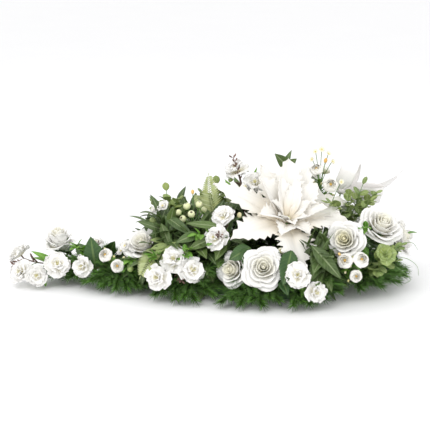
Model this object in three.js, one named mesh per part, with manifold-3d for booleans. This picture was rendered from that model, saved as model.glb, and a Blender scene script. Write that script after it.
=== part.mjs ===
// A teardrop funeral arrangement: a tray and a block of dry foam in the shape of a drop, with
// artificial flowers, leaves, ferns and pine picks pushed into the foam all round.
// Millimetres, +Z up. +X runs from the pointed end of the drop to its round end, and the long
// front side faces -Y. The origin is on the underside of the tray.
import * as THREE from "three";
import { mergeVertices } from "three/addons/utils/BufferGeometryUtils.js";
import Module from "manifold-3d";

const wasm = await Module();
wasm.setup();

// Driving dimensions
const FOAM = { roundX: 165, roundR: 108, tipX: -235, tipR: 24, top: 50, arcSteps: 5 };
const TRAY = { wall: 2, floor: 2.5, height: 18 };
const GAP = 0.4; // clearance between two pieces that touch on the real thing
const CLEAR = 0.33; // the least clearance that is let through
const BLADE = 0.8; // thickness of a leaf
const PETAL = 1.0; // thickness of a fabric petal
const STEM = 2.0; // radius of a wired stem
const TWIG = 1.4; // radius of a side twig
const NEEDLE = 26; // length of a pine needle
const TABLE = 1.2; // nothing but the tray comes lower than this
const TINY = 1e-5; // two points nearer than this are one
const CROSSING = 0.01; // a shared volume below this is a touch, in cubic millimetres
const LEVEL = 0.05; // two directions whose cross product is shorter than this count as parallel
const STEEP = 0.9; // a direction that rises more than this counts as upright

const COLOURS = {
  tray: 0x23402a,
  foam: 0x5f7a4b,
  petal: 0xf4f2ee,
  cream: 0xf3ecd6,
  stem: 0x5c7a3c,
  leaf: 0x3c6b35,
  pale: 0x9db07a,
  fern: 0xa9b97f,
  pine: 0x2f5f33,
  berry: 0xe9e6b4,
  ribbon: 0xefeae6,
};

const V = (x, y, z) => new THREE.Vector3(x, y, z);
const at = (p) => V(p[0], p[1], p[2]);
const UP = V(0, 0, 1);
const TURN = 2 * Math.PI;
const lerp = (a, b, t) => a.clone().lerp(b, t);
const times = (count, make) => Array.from({ length: count }, (_, i) => make(i));
const tiltedAway = (way, side, lean) =>
  way.clone().multiplyScalar(Math.cos(lean)).addScaledVector(side, Math.sin(lean));

// A seeded random number from 0 to 1
function dice(seed) {
  let state = seed >>> 0;
  return () => {
    state = (state * 1664525 + 1013904223) >>> 0;
    return state / 4294967296;
  };
}

// A closed geometry as a solid that faces outwards
function solid(geometry) {
  const bare = geometry.index ? geometry.toNonIndexed() : geometry.clone();
  bare.deleteAttribute("normal");
  bare.deleteAttribute("uv");
  const merged = mergeVertices(bare, TINY);
  const triVerts = new Uint32Array(merged.index.array);
  const vertProperties = merged.attributes.position.array;
  const build = () => new wasm.Manifold(new wasm.Mesh({ numProp: 3, vertProperties, triVerts }));
  const made = build();
  if (made.volume() >= 0) return made;
  for (let i = 0; i < triVerts.length; i += 3)
    [triVerts[i + 1], triVerts[i + 2]] = [triVerts[i + 2], triVerts[i + 1]];
  return build();
}

// A surface that is put together from triangles and loops of points. Every loop is counted
// round the way the surface grows.
function surface() {
  const corners = [];
  const face = (a, b, c) => {
    if (a.distanceTo(b) > TINY && b.distanceTo(c) > TINY && c.distanceTo(a) > TINY)
      corners.push(a, b, c);
  };
  const start = (loop) => times(loop.length - 2, (k) => face(loop[0], loop[k + 2], loop[k + 1]));
  const end = (loop) => times(loop.length - 2, (k) => face(loop[0], loop[k + 1], loop[k + 2]));
  const join = (low, high) => {
    const [m, n] = [low.length, high.length];
    let [i, j] = [0, 0];
    while (i < m || j < n) {
      if (i < m && (j >= n || (i + 1) * n <= (j + 1) * m)) {
        face(low[i % m], low[(i + 1) % m], high[j % n]);
        i += 1;
      } else {
        face(low[i % m], high[(j + 1) % n], high[j % n]);
        j += 1;
      }
    }
  };
  // Between two sections of a blade the upper half is split the way the lower half is
  const joinBlade = (low, high) => {
    const n = low.length;
    times(n, (i) => {
      const k = (i + 1) % n;
      const lower = i < n / 2;
      face(low[i], low[k], lower ? high[i] : high[k]);
      face(lower ? low[k] : low[i], high[k], high[i]);
    });
  };
  const body = () => {
    const geometry = new THREE.BufferGeometry().setFromPoints(corners);
    return solid(geometry.setIndex(times(corners.length, (i) => i)));
  };
  return { face, start, end, join, joinBlade, body };
}

// A closed solid through loops of points, with a point or a flat end last
function loft(loops) {
  const s = surface();
  s.start(loops[0]);
  loops.slice(1).forEach((loop, i) => s.join(loops[i], loop));
  s.end(loops[loops.length - 1]);
  return s.body();
}

function ring(centre, way, side, radius, sides = 3, turn = 0) {
  return times(sides, (k) =>
    side.clone().applyAxisAngle(way, turn + (k * TURN) / sides).multiplyScalar(radius).add(centre),
  );
}

// A vector square to a direction, level where it can be
function sideOf(way) {
  const side = way.clone().cross(UP);
  return (side.length() < LEVEL ? V(1, 0, 0) : side).normalize();
}

const squareTo = (side, way) => side.clone().addScaledVector(way, -side.dot(way)).normalize();

function rod(a, b, radius, sides = 3) {
  const way = b.clone().sub(a).normalize();
  return loft([a, b].map((p) => ring(p, way, sideOf(way), radius, sides)));
}

// The matrix that puts local +Y along a direction and local +Z as near as it goes to up
function placed(point, direction, up) {
  const y = direction.clone().normalize();
  let x = y.clone().cross(up);
  if (x.length() < LEVEL) x = y.clone().cross(V(0.3, 1, 0.2));
  x.normalize();
  return new THREE.Matrix4().makeBasis(x, y, x.clone().cross(y)).setPosition(point);
}

// The matrix that puts local +Z along the way a flower faces
function facing(point, direction, turn = 0) {
  const z = direction.clone().normalize();
  const x = UP.clone().cross(z);
  if (x.length() < LEVEL) x.set(1, 0, 0);
  x.normalize();
  return new THREE.Matrix4()
    .makeBasis(x, z.clone().cross(x), z)
    .multiply(new THREE.Matrix4().makeRotationZ(turn))
    .setPosition(point);
}

// The sections of a blade that grows along local +Y: four corners each, or six where it is
// folded along its rib. profile lists the stations as [share of the length, share of the half
// width, how far the edge leans forward].
function bladeSections(blade, matrix) {
  const { profile, length, width, droop = 0.5, fold = 0, rise = 0, thick = BLADE } = blade;
  const corners = fold
    ? [[1, -1], [0, -1], [-1, -1], [-1, 1], [0, 1], [1, 1]]
    : [[1, -1], [-1, -1], [-1, 1], [1, 1]];
  return profile.map(([t, w, lean = 0]) => {
    const a = droop * t;
    const along = droop ? (length * Math.sin(a)) / droop : length * t;
    const down = droop ? (length * (1 - Math.cos(a))) / droop : 0;
    const half = (width / 2) * w;
    return corners.map(([side, top]) => {
      const out = Math.abs(side) * half;
      return V(side * half, along + out * lean, out * fold - down)
        .add(V(0, Math.sin(a), Math.cos(a)).multiplyScalar((top * thick) / 2))
        .applyAxisAngle(V(1, 0, 0), rise)
        .applyMatrix4(matrix);
    });
  });
}

const LANCE = [[0.06, 0.2], [0.34, 1], [0.68, 0.78], [1, 0]];
const OVAL = [[0.08, 0.24], [0.34, 1], [0.7, 0.88], [1, 0]];
const ROUND = [[0.12, 0.3], [0.5, 1], [0.98, 0.55]];
const BRACT = [
  [0.04, 0.16], [0.24, 0.66, 0.25], [0.32, 0.44], [0.5, 1, 0.3],
  [0.58, 0.58], [0.76, 0.62, 0.3], [1, 0],
];
const SMALL_BRACT = [[0.06, 0.22], [0.36, 0.85, 0.2], [0.46, 0.6], [0.66, 0.9, 0.3], [1, 0]];

// The order of a root loop's points that lies nearest to a blade's first section
function turnedToMatch(root, section) {
  const middle = (loop) => loop.reduce((sum, p) => sum.add(p), V(0, 0, 0)).divideScalar(loop.length);
  const [a, b] = [middle(root), middle(section)];
  const score = (shift) =>
    section.reduce((sum, p, k) => {
      const q = root[(k + shift) % root.length];
      return sum + p.clone().sub(b).normalize().dot(q.clone().sub(a).normalize());
    }, 0);
  const shifts = times(root.length, (k) => k).sort((i, j) => score(j) - score(i));
  return root.map((_, k) => root[(k + shifts[0]) % root.length]);
}

// Raises a blade on a facet of a surface: the first of several tries that fits, or the bare facet
function raise(s, root, attempts, fits, sunk = false) {
  for (const attempt of attempts) {
    const sections = attempt();
    const loops = [turnedToMatch(root, sections[0]), ...sections];
    const build = (target) => {
      target.join(loops[0], loops[1]);
      sections.slice(1).forEach((section, i) => target.joinBlade(sections[i], section));
      target.end(loops[loops.length - 1]);
    };
    const own = surface();
    own.start(loops[0]);
    build(own);
    if (fits(own.body(), sunk)) {
      build(s);
      return true;
    }
  }
  s.end(root);
  return false;
}

// Lists up to five tries at one leaf, each turned or shortened a little more
const tries = (make) => times(5, (k) => () => make(k));

// A stalk through points that widens or narrows, with leaves raised on its sides. Each leaf sits
// on a short band just above the point that it names.
const LEAF_BAND = 3; // height of the facet that a leaf grows from
const BAND_TAPER = 0.96; // how much of its radius the stalk keeps across that facet

function stalk({ points, radii, sides = 3, leaves = [] }, fits) {
  const s = surface();
  const stations = [];
  points.forEach((p, i) => {
    const before = p.clone().sub(points[Math.max(i - 1, 0)]).normalize();
    const after = points[Math.min(i + 1, points.length - 1)].clone().sub(p).normalize();
    const way = before.add(after).normalize();
    const grown = leaves.filter((leaf) => leaf.on === i);
    stations.push({ p, way, radius: radii[i], grown });
    const above = p.clone().addScaledVector(way, LEAF_BAND);
    if (grown.length) stations.push({ p: above, way, radius: radii[i] * BAND_TAPER, grown: [] });
  });
  let side = sideOf(stations[0].way);
  const loops = stations.map(({ p, way, radius }) => {
    side = squareTo(side, way);
    return ring(p, way, side, radius, sides);
  });
  s.start(loops[0]);
  stations.slice(0, -1).forEach(({ grown, way, p }, i) => {
    const [low, high] = [loops[i], loops[i + 1]];
    if (!grown.length) {
      s.join(low, high);
      return;
    }
    times(sides, (k) => {
      const next = (k + 1) % sides;
      const facet = [low[k], low[next], high[next], high[k]];
      const leaf = grown.find((g) => g.side === k);
      if (leaf) raise(s, facet, leaf.attempts(facet, way, p), fits);
      else s.end(facet);
    });
  });
  s.end(loops[loops.length - 1]);
  return s.body();
}

const centreOf = (loop) =>
  loop.reduce((sum, p) => sum.add(p), V(0, 0, 0)).divideScalar(loop.length);

// The tries at a leaf that leaves its facet at an angle to the stalk: each is swung round the
// stalk a little further, to one side and then the other, and made a little smaller
const TRY = { swing: 0.22, less: 0.09 };

const leafTries = (profile, lean, size) => (facet, way) => {
  const middle = centreOf(facet);
  const [a, b, , d] = facet;
  const out = b.clone().sub(a).cross(d.clone().sub(a)).normalize();
  return tries((k) => {
    const swing = (k % 2 ? TRY.swing : -TRY.swing) * k;
    const direction = tiltedAway(way, out.clone().applyAxisAngle(way, swing), lean);
    const shrunk = 1 - TRY.less * k;
    return bladeSections(
      { profile, ...size, length: size.length * shrunk, width: size.width * shrunk },
      placed(middle, direction, Math.abs(direction.z) > STEEP ? way : UP),
    );
  });
};

// The outline of the drop: a big round end and a small one joined by their tangents
function drop(grow) {
  const [big, small] = [FOAM.roundR + grow, FOAM.tipR + grow];
  const a = Math.PI - Math.acos((big - small) / (FOAM.roundX - FOAM.tipX));
  const shape = new THREE.Shape();
  shape.absarc(FOAM.roundX, 0, big, -a, a, false);
  shape.absarc(FOAM.tipX, 0, small, a, TURN - a, false);
  return shape;
}

function prism(shape, low, high) {
  const settings = { depth: high - low, bevelEnabled: false, curveSegments: FOAM.arcSteps };
  return solid(new THREE.ExtrudeGeometry(shape, settings).translate(0, 0, low));
}

const tray = () =>
  prism(drop(GAP + TRAY.wall), 0, TRAY.height).subtract(
    prism(drop(GAP), TRAY.floor, TRAY.height + 1),
  );

// A loop of a flower head in its own frame, from [radius, height] of its corners, repeated
// once for each petal. Corners share a petal's angle, less a notch where asked for.
function petalLoop(petals, corners, size, matrix, turn = 0) {
  return times(petals, (i) =>
    corners.map(([share, radius, height]) => {
      const a = turn + ((i + share) * TURN) / petals;
      return V(radius * Math.cos(a), radius * Math.sin(a), height).multiply(V(size, size, size))
        .applyMatrix4(matrix);
    }),
  ).flat();
}

// A rose in one surface: rings of petals inside each other, each with an outer and an inner
// face, a rolled lip with notches between petals, and a cleft down to the next ring
function roseBloom({ pos, face, radius, open = 1, tall = 1, turn = 0, floor = -0.5 }) {
  const matrix = facing(at(pos), at(face), turn).scale(V(1, 1, tall));
  const loop = (petals, corners, spin = 0) => petalLoop(petals, corners, radius, matrix, spin);
  const lip = (petals, r, z, inward, spin) => [
    loop(petals, [[0, r * 0.82, z - 0.16], [0.28, r, z], [0.72, r * 1.03, z - 0.02]], spin),
    loop(petals, [
      [0, r * 0.82 - inward, z - 0.14],
      [0.28, r - inward, z + 0.03],
      [0.72, r * 1.03 - inward, z + 0.01],
    ], spin),
  ];
  return {
    parts: [loft([
      loop(5, [[0, 0.34, floor]]),
      loop(5, [[0.25, 0.84 * open, floor + 0.22], [0.75, 0.84 * open, floor + 0.22]]),
      ...lip(5, open, 0.16, 0.04, 0),
      loop(5, [[0.25, 0.66, -0.1], [0.75, 0.66, -0.1]]),
      loop(4, [[0, 0.72, 0.12], [0.5, 0.74, 0.12]], 0.4),
      ...lip(4, 0.7, 0.46, 0.035, 0.4),
      loop(4, [[0.5, 0.46, 0.2]], 0.4),
      ...lip(3, 0.4, 0.6, 0.03, 1.1),
      loop(3, [[0.5, 0.2, 0.4]], 1.1),
      loop(3, [[0.5, 0.1, 0.62]], 2.1),
    ])],
    foot: V(0, 0, floor * radius).applyMatrix4(matrix),
    matrix,
  };
}

// The stem of a rose, which widens to a calyx just under the bloom, with leaves
const CALYX = { deep: 0.34, wide: 0.32, sides: 4 }; // depth and half width in bloom radii
const ROSE_LEAVES_AT = 0.84; // share of the stem's length where its leaves grow

function roseStem({ root, leaves = [], radius }, { foot, matrix }) {
  const back = V(0, 0, -1).transformDirection(matrix);
  const top = foot.clone().addScaledVector(back, GAP);
  const base = foot.clone().addScaledVector(back, CALYX.deep * radius);
  const a = at(root);
  const leafPoint = lerp(a, base, ROSE_LEAVES_AT);
  const points = [a, leafPoint, base, top];
  const shape = {
    points,
    radii: [STEM, STEM, STEM * 1.3, radius * CALYX.wide],
    sides: CALYX.sides,
    leaves: leaves.map(({ side, lean = 0.8, length = 52, width = 32 }) => ({
      on: 1, side, attempts: leafTries(OVAL, lean, { length, width, droop: 0.4 }),
    })),
  };
  return {
    make: (fits) => [stalk(shape, fits)],
    stem: { a, b: base, radius: STEM, sides: CALYX.sides },
  };
}

// A twig from a stem to the back of a flower head, as loops that end below the head
function twigLoops(start, knee, matrix, depth) {
  const back = V(0, 0, -depth).applyMatrix4(matrix);
  const x = V(1, 0, 0).transformDirection(matrix);
  const facingWay = V(0, 0, 1).transformDirection(matrix);
  const ways = [knee.clone().sub(start), back.clone().sub(knee)].map((w) => w.normalize());
  return [
    ring(start, ways[0], squareTo(x, ways[0]), TWIG),
    ring(knee, ways[1], squareTo(x, ways[1]), TWIG),
    ring(back, facingWay, x, TWIG * 1.2),
  ];
}

// Each kind of head gives its loops from the back to the front, in sizes of half its width
const HEADS = {
  blossom: {
    depth: 0.34,
    loops: [
      [5, [[0, 0.16, -0.12]]],
      [5, [[0, 0.42, 0.04], [0.2, 0.96, 0.3], [0.8, 1, 0.36]]],
      [5, [[0, 0.42, 0.09], [0.2, 0.95, 0.35], [0.8, 0.99, 0.41]]],
      [5, [[0, 0.12, 0.02]]],
      [3, [[0, 0.05, 0.14]]],
    ],
  },
  miniRose: {
    depth: 0.9,
    loops: [
      [5, [[0, 0.3, -0.66]]],
      [5, [[0.25, 0.9, -0.16], [0.75, 0.9, -0.16]]],
      [5, [[0, 0.84, 0.18], [0.5, 1, 0.4]]],
      [5, [[0, 0.76, 0.2], [0.5, 0.9, 0.42]]],
      [5, [[0, 0.5, 0.26]]],
      [3, [[0, 0.34, 0.6]]],
    ],
  },
  berry: {
    depth: 1.1,
    loops: [
      [3, [[0, 0.5, -0.84]]],
      [4, [[0.5, 1, -0.1]]],
      [4, [[0, 0.66, 0.78]]],
    ],
  },
};

// Heads on side twigs that leave a straight stem one below another near its top. Each twig
// bends at a knee, so that it meets the back of its head.
const FORK = { step: 2.6, knee: 0.6, bend: 0.16 };

function spray({ root, fork, heads, leaves = [] }, kind) {
  const [a, b] = [at(root), at(fork)];
  const way = b.clone().sub(a).normalize();
  const twigs = heads.map(({ pos, face, size, turn = 0 }, i) => {
    const matrix = facing(at(pos), at(face), turn);
    const start = b.clone().addScaledVector(way, -STEM - FORK.step * i);
    const back = V(0, 0, (-HEADS[kind].depth * size) / 2).applyMatrix4(matrix);
    const bend = V(0, 0, -1).transformDirection(matrix).multiplyScalar(start.distanceTo(back) * FORK.bend);
    const knee = lerp(start, back, FORK.knee).add(bend);
    return loft([
      ...twigLoops(start, knee, matrix, (HEADS[kind].depth * size) / 2),
      ...HEADS[kind].loops.map(([count, corners]) => petalLoop(count, corners, size / 2, matrix)),
    ]);
  });
  const shape = {
    points: [a, lerp(a, b, 0.7), b],
    radii: [STEM, STEM, STEM],
    leaves: leaves.map(({ side, lean = 0.5, length, width }) => ({
      on: 1, side, attempts: leafTries(LANCE, lean, { length, width, droop: 0.4 }),
    })),
  };
  return {
    make: (fits) => [stalk(shape, fits), ...twigs],
    stem: { a, b, radius: STEM },
  };
}

// A stem with leaves in pairs or threes round it, and one at its tip
function leafy({ root, tip, bow = [0, 0, 0], tiers, each = 2, length, width, profile = LANCE,
  lean = 0.95, from = 0.25, droop = 0.5, shrink = 0.35, radius = 1.7 }) {
  const [a, b] = [at(root), at(tip)];
  const clearOfFoam = (FOAM.top + 5 - a.z) / (b.z - a.z);
  const neck = lerp(a, b, Math.min(0.8, Math.max(0.2, clearOfFoam)));
  const curve = new THREE.QuadraticBezierCurve3(neck, lerp(neck, b, 0.5).add(at(bow)), b);
  const shares = times(tiers, (i) => from + ((1 - from) * i) / tiers);
  const leaves = shares.flatMap((share, i) =>
    times(each, (k) => {
      const size = 1 - shrink * share;
      return {
        on: i + 2,
        side: (2 * i + k) % 3,
        attempts: leafTries(profile, lean * (1 - 0.35 * share), {
          length: length * size, width: width * size, droop,
        }),
      };
    }),
  );
  const shape = {
    points: [a, neck, ...shares.map((t) => curve.getPoint(t)), b],
    radii: [radius, radius, ...shares.map((t) => radius * (1 - 0.3 * t)), radius * 0.6],
    leaves,
  };
  const last = { profile, length: length * (1 - shrink), width: width * (1 - shrink), droop };
  const crown = (fits) => {
    const s = surface();
    const way = curve.getTangent(1);
    const root3 = ring(b.clone().addScaledVector(way, -1), way, sideOf(way), radius * 0.5, 4);
    s.start(root3);
    const grown = raise(s, root3, tries((k) => bladeSections(
      { ...last, length: last.length * (1 - 0.12 * k) }, placed(b, way, UP),
    )), fits, true);
    return grown ? [s.body()] : [];
  };
  return {
    make: (fits) => [stalk(shape, fits), ...crown(fits)],
    stem: { a, b: neck, radius },
  };
}

// A fern pick: fronds cut to the rib into leaflets, each as one arched blade on a short stem
const FROND_TEETH = 7;

function frondProfile() {
  const teeth = times(FROND_TEETH, (i) => {
    const [foot, point] = [i, i + 0.7].map((step) => 0.06 + (0.94 * step) / FROND_TEETH);
    const half = Math.sin(Math.PI * (0.16 + (0.84 * (FROND_TEETH - i - 0.7)) / FROND_TEETH) * 0.62);
    return [[foot, 0.16 * (1 - 0.5 * foot)], [point, half]];
  });
  return [[0.03, 0.1], ...teeth.flat(), [1, 0]];
}

function fernPick({ root, neck, fronds }) {
  const [a, b] = [at(root), at(neck)];
  const way = b.clone().sub(a).normalize();
  const frond = ({ way: heading, up, length, width }, i) => (fits) => {
    const d = at(heading).normalize();
    const s = surface();
    const start = b.clone().addScaledVector(way, -STEM - 3 * i);
    const foot = ring(start, d, sideOf(d), STEM * 0.7, 4);
    s.start(foot);
    const grown = raise(s, foot, tries((k) => {
      const turned = d.clone().applyAxisAngle(UP, (k % 2 ? 0.18 : -0.18) * k);
      return bladeSections(
        { profile: frondProfile(), length: length * (1 - 0.06 * k), width, droop: 0.7 },
        placed(start, turned, at(up)),
      );
    }), fits, true);
    return grown ? [s.body()] : [];
  };
  return {
    make: (fits) => [rod(a, b, STEM), ...fronds.flatMap((f, i) => frond(f, i)(fits))],
    stem: { a, b, radius: STEM },
  };
}

// A twig whose facets carry needles, each raised on a triangle of the twig
const BRUSH = { steps: 5, radius: 1.4, twist: 0.5, bare: 0.16, shares: [1, 0.7, 0.45] };

function brush(curve, needle, seed, fits) {
  const roll = dice(seed);
  const s = surface();
  let side = sideOf(curve.getTangent(0));
  const frames = times(BRUSH.steps + 1, (i) => {
    const t = i / BRUSH.steps;
    const way = curve.getTangent(t);
    side = squareTo(side, way);
    const radius = BRUSH.radius * (1 - 0.25 * t);
    return { t, way, loop: ring(curve.getPoint(t), way, side, radius, 3, i * BRUSH.twist) };
  });
  const grow = (a, b, c, way, lean, long) => {
    const out = b.clone().sub(a).cross(c.clone().sub(a)).normalize();
    const direction = tiltedAway(way, out, lean);
    for (const share of BRUSH.shares) {
      const apex = centreOf([a, b, c]).addScaledVector(direction, long * share);
      apex.z = Math.max(apex.z, TABLE);
      const spike = surface();
      spike.start([a, b, c]);
      spike.join([a, b, c], [apex]);
      const body = spike.body();
      if (body.volume() > 0.5 && fits(body)) {
        s.join([a, b, c], [apex]);
        return;
      }
    }
    s.face(a, b, c);
  };
  s.start(frames[0].loop);
  frames.slice(0, -1).forEach((low, i) => {
    const high = frames[i + 1];
    if (low.t < BRUSH.bare) {
      s.join(low.loop, high.loop);
      return;
    }
    times(3, (k) => {
      const next = (k + 1) % 3;
      const long = needle * (0.85 + 0.25 * roll());
      const lean = 0.95 - 0.4 * low.t + 0.1 * (roll() - 0.5);
      grow(low.loop[k], low.loop[next], high.loop[k], low.way, lean, long);
      grow(low.loop[next], high.loop[next], high.loop[k], low.way, lean - 0.08, long * 0.9);
    });
  });
  const last = frames[BRUSH.steps];
  grow(last.loop[0], last.loop[1], last.loop[2], last.way, 0, needle * 0.8);
  return s.body();
}

// A pine pick: a stem with needled twigs in a fan
function pine({ root, neck, tips, seed }) {
  const [a, b] = [at(root), at(neck)];
  const twig = (tip, i) => {
    const start = lerp(b, a, 0.05 + 0.07 * i);
    const middle = lerp(start, at(tip), 0.5).add(V(0, 0, 6));
    return new THREE.QuadraticBezierCurve3(start, middle, at(tip));
  };
  return {
    make: (fits) => [
      rod(a, b, STEM),
      ...tips.map((tip, i) => brush(twig(tip, i), NEEDLE, seed + i, fits)),
    ],
    stem: { a, b, radius: STEM },
  };
}

// The poinsettia: a hub of three bands with a ring of bracts on each
const POINSETTIA = {
  pos: [145, -48, 152], face: [0.2, -0.42, 0.88], root: [150, -10, 20],
  bands: [[9, -12], [12, -9], [13, -3], [11, 2], [8, 6]], // radius and height of the hub
  first: 0.08 - Math.PI / 7, // where the first outer bract's facet begins
  neck: 20, // length of the stem's last stretch, which is square to the hub
  // Bracts that lie open, those of the upright crown inside them, and the small ones in it
  outer: [
    { turn: 0.15, length: 150, width: 70, rise: 0.48, droop: 0.7 },
    { turn: 0.9, length: 138, width: 60, rise: 0.6, droop: 0.3 },
    { turn: 1.75, length: 130, width: 58, rise: 0.68, droop: 0.3 },
    { turn: 2.42, length: 166, width: 66, rise: 0.32, droop: 0.3 },
    { turn: 3.22, length: 130, width: 64, rise: 0.24, droop: 0.6 },
    { turn: 4.56, length: 124, width: 72, rise: 0.3, droop: 1.0 },
    { turn: 5.95, length: 142, width: 68, rise: 0.7, droop: 1.2 },
  ],
  inner: [
    { length: 98, width: 46, rise: 0.9, droop: 0.5 },
    { turn: 1.3, length: 128, width: 54, rise: 0.84, droop: 0.3 },
    { length: 100, width: 48, rise: 1.02, droop: 0.4 },
    { length: 70, width: 40, rise: 1.0, droop: 0.9 },
    { length: 54, width: 36, rise: 0.8, droop: 1.1 },
    { length: 56, width: 36, rise: 0.8, droop: 1.1 },
    { length: 80, width: 42, rise: 1.0, droop: 0.7 },
  ],
  heart: { length: 46, width: 22, rise: 1.2, droop: 0.6 },
};
const BRACTS = 7;

function poinsettiaPetals({ pos, face, bands, first, outer, inner, heart }) {
  const base = facing(at(pos), at(face));
  const sides = BRACTS * 2;
  const loops = bands.map(([r, z]) =>
    times(sides, (k) => {
      const a = first + (k * TURN) / sides;
      return V(r * Math.cos(a), r * Math.sin(a), z).applyMatrix4(base);
    }),
  );
  const make = (fits) => {
    const s = surface();
    s.start(loops[0]);
    s.join(loops[0], loops[1]);
    const bract = (band, shift, i, profile, { turn, length, width, rise, droop }) => {
      const [low, high] = [loops[band], loops[band + 1]];
      const k = [0, 1, 2].map((step) => (2 * i + shift + step) % sides);
      const facet = [low[k[0]], low[k[1]], low[k[2]], high[k[2]], high[k[1]], high[k[0]]];
      const middle = first + ((2 * i + 1 + shift) * TURN) / sides;
      const [r, z] = bands[band];
      const height = (z + bands[band + 1][1]) / 2;
      raise(s, facet, tries((n) => {
        const matrix = base.clone()
          .multiply(new THREE.Matrix4().makeRotationZ((turn ?? middle) - Math.PI / 2))
          .multiply(new THREE.Matrix4().makeTranslation(0, r * 0.96, height));
        const less = 1 - 0.08 * n;
        const size = { length: length * less, width: width * less, rise: rise + 0.03 * n, droop };
        return bladeSections({ profile, ...size, fold: 0.24, thick: PETAL }, matrix);
      }), fits);
    };
    times(BRACTS, (i) => bract(1, 0, i, BRACT, outer[i]));
    times(BRACTS, (i) => bract(2, 1, i, SMALL_BRACT, inner[i]));
    times(BRACTS, (i) => bract(3, 0, i, LANCE, heart));
    s.end(loops[4]);
    return [s.body()];
  };
  return { make, base, hubLow: bands[0][1], hubTop: bands[4][1] };
}

// The small buds in the middle of the poinsettia, on one disc
function poinsettiaEye(base, height) {
  const disc = (radius, z) => petalLoop(6, [[0, radius, z]], 1, base);
  const bud = (i) => {
    const spot = (i * TURN) / 5;
    const matrix = base.clone().multiply(
      new THREE.Matrix4().makeTranslation(3.4 * Math.cos(spot), 3.4 * Math.sin(spot), height),
    );
    return loft([[1, 1], [1.8, 4], [1, 6.4]].map(([r, z]) => petalLoop(4, [[0, r, z]], 1, matrix)));
  };
  return [loft([disc(5.2, height + GAP), disc(5.2, height + GAP + 3)]), ...times(5, bud)];
}

const ROSES = {
  left: { pos: [-160, -42, 100], face: [-0.3, -0.5, 0.8], radius: 37, root: [-138, -2, 20],
    leaves: [{ side: 0 }, { side: 2 }] },
  tip: { pos: [-350, 42, 84], face: [-0.15, -0.1, 1], radius: 32, open: 0.9, tall: 1.5, root: [-236, 7, 20],
    leaves: [{ side: 1, lean: 1.2 }, { side: 3, lean: 1.15, length: 64, width: 40 }] },
  front_left: { pos: [30, -128, 72], face: [-0.6, -0.75, 0.3], radius: 32, root: [52, -68, 20],
    leaves: [{ side: 0 }, { side: 2 }] },
  front: { pos: [92, -154, 84], face: [-0.05, -0.86, 0.5], radius: 38, root: [96, -72, 20],
    leaves: [{ side: 0 }, { side: 2 }] },
  right_front: { pos: [262, -102, 128], face: [-0.3, -0.8, 0.5], radius: 35, root: [232, -48, 20],
    leaves: [{ side: 0 }] },
  right: { pos: [346, -42, 142], face: [0.3, -0.5, 0.8], radius: 40, root: [240, -12, 20],
    leaves: [{ side: 1 }, { side: 3 }] },
  right_end: { pos: [396, 8, 98], face: [0.85, -0.2, 0.5], radius: 34, root: [244, 18, 20],
    leaves: [{ side: 1, lean: 1.1 }, { side: 3, lean: 1.1 }] },
  back_right: { pos: [284, 130, 116], face: [0.25, 0.75, 0.6], radius: 38, root: [240, 56, 20],
    leaves: [{ side: 0 }, { side: 2 }] },
  back: { pos: [118, 142, 104], face: [-0.1, 0.84, 0.5], radius: 38, root: [126, 68, 20],
    leaves: [{ side: 0 }, { side: 2 }] },
};

const BLOSSOMS = {
  tip: { root: [-236, -8, 32], fork: [-352, -12, 50],
    heads: [
      { pos: [-430, 12, 58], face: [-0.6, 0.3, 0.7], size: 46 },
      { pos: [-420, -36, 34], face: [-0.5, -0.7, 0.5], size: 48, turn: 0.4 },
      { pos: [-388, -46, 30], face: [0.1, -0.9, 0.35], size: 44, turn: 0.2 },
      { pos: [-344, -42, 54], face: [0.2, -0.75, 0.6], size: 50, turn: 0.5 },
    ],
    leaves: [{ side: 1, length: 46, width: 14 }] },
  left: { root: [-224, -12, 20], fork: [-262, -34, 74],
    heads: [
      { pos: [-286, -52, 52], face: [-0.5, -0.8, 0.3], size: 44 },
      { pos: [-262, -14, 88], face: [-0.2, -0.1, 1], size: 38, turn: 0.3 },
    ] },
  front_left: { root: [-78, -42, 20], fork: [-98, -92, 60],
    heads: [
      { pos: [-124, -134, 56], face: [-0.4, -0.8, 0.4], size: 50 },
      { pos: [-90, -116, 88], face: [-0.2, -0.7, 0.7], size: 54, turn: 0.5 },
      { pos: [-54, -128, 70], face: [0.3, -0.9, 0.4], size: 52, turn: 0.2 },
    ] },
  middle: { root: [16, -46, 20], fork: [4, -72, 108],
    heads: [
      { pos: [-4, -108, 132], face: [-0.5, -0.75, 0.45], size: 50 },
      { pos: [12, -78, 170], face: [-0.2, -0.6, 0.8], size: 46, turn: 0.3 },
    ] },
  top: { root: [62, 26, 20], fork: [58, 40, 168],
    heads: [
      { pos: [42, 62, 234], face: [-0.4, -0.3, 0.8], size: 52 },
      { pos: [80, 22, 218], face: [-0.1, -0.8, 0.5], size: 46, turn: 0.4 },
    ] },
  front_right: { root: [150, -78, 20], fork: [160, -132, 54],
    heads: [
      { pos: [160, -176, 74], face: [0, -0.85, 0.5], size: 50 },
      { pos: [196, -182, 42], face: [0.35, -0.9, 0.15], size: 42, turn: 0.4 },
    ] },
  back_left: { root: [-18, 50, 20], fork: [-34, 78, 96],
    heads: [
      { pos: [-62, 116, 116], face: [-0.4, 0.7, 0.6], size: 52 },
      { pos: [-16, 108, 148], face: [0, 0.6, 0.8], size: 50, turn: 0.4 },
      { pos: [-88, 96, 80], face: [-0.6, 0.7, 0.3], size: 46, turn: 0.2 },
    ] },
  back_top: { root: [178, 58, 20], fork: [182, 84, 130],
    heads: [
      { pos: [160, 118, 178], face: [-0.2, 0.7, 0.7], size: 52 },
      { pos: [206, 112, 196], face: [0.3, 0.6, 0.8], size: 50, turn: 0.3 },
    ] },
};

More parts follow.
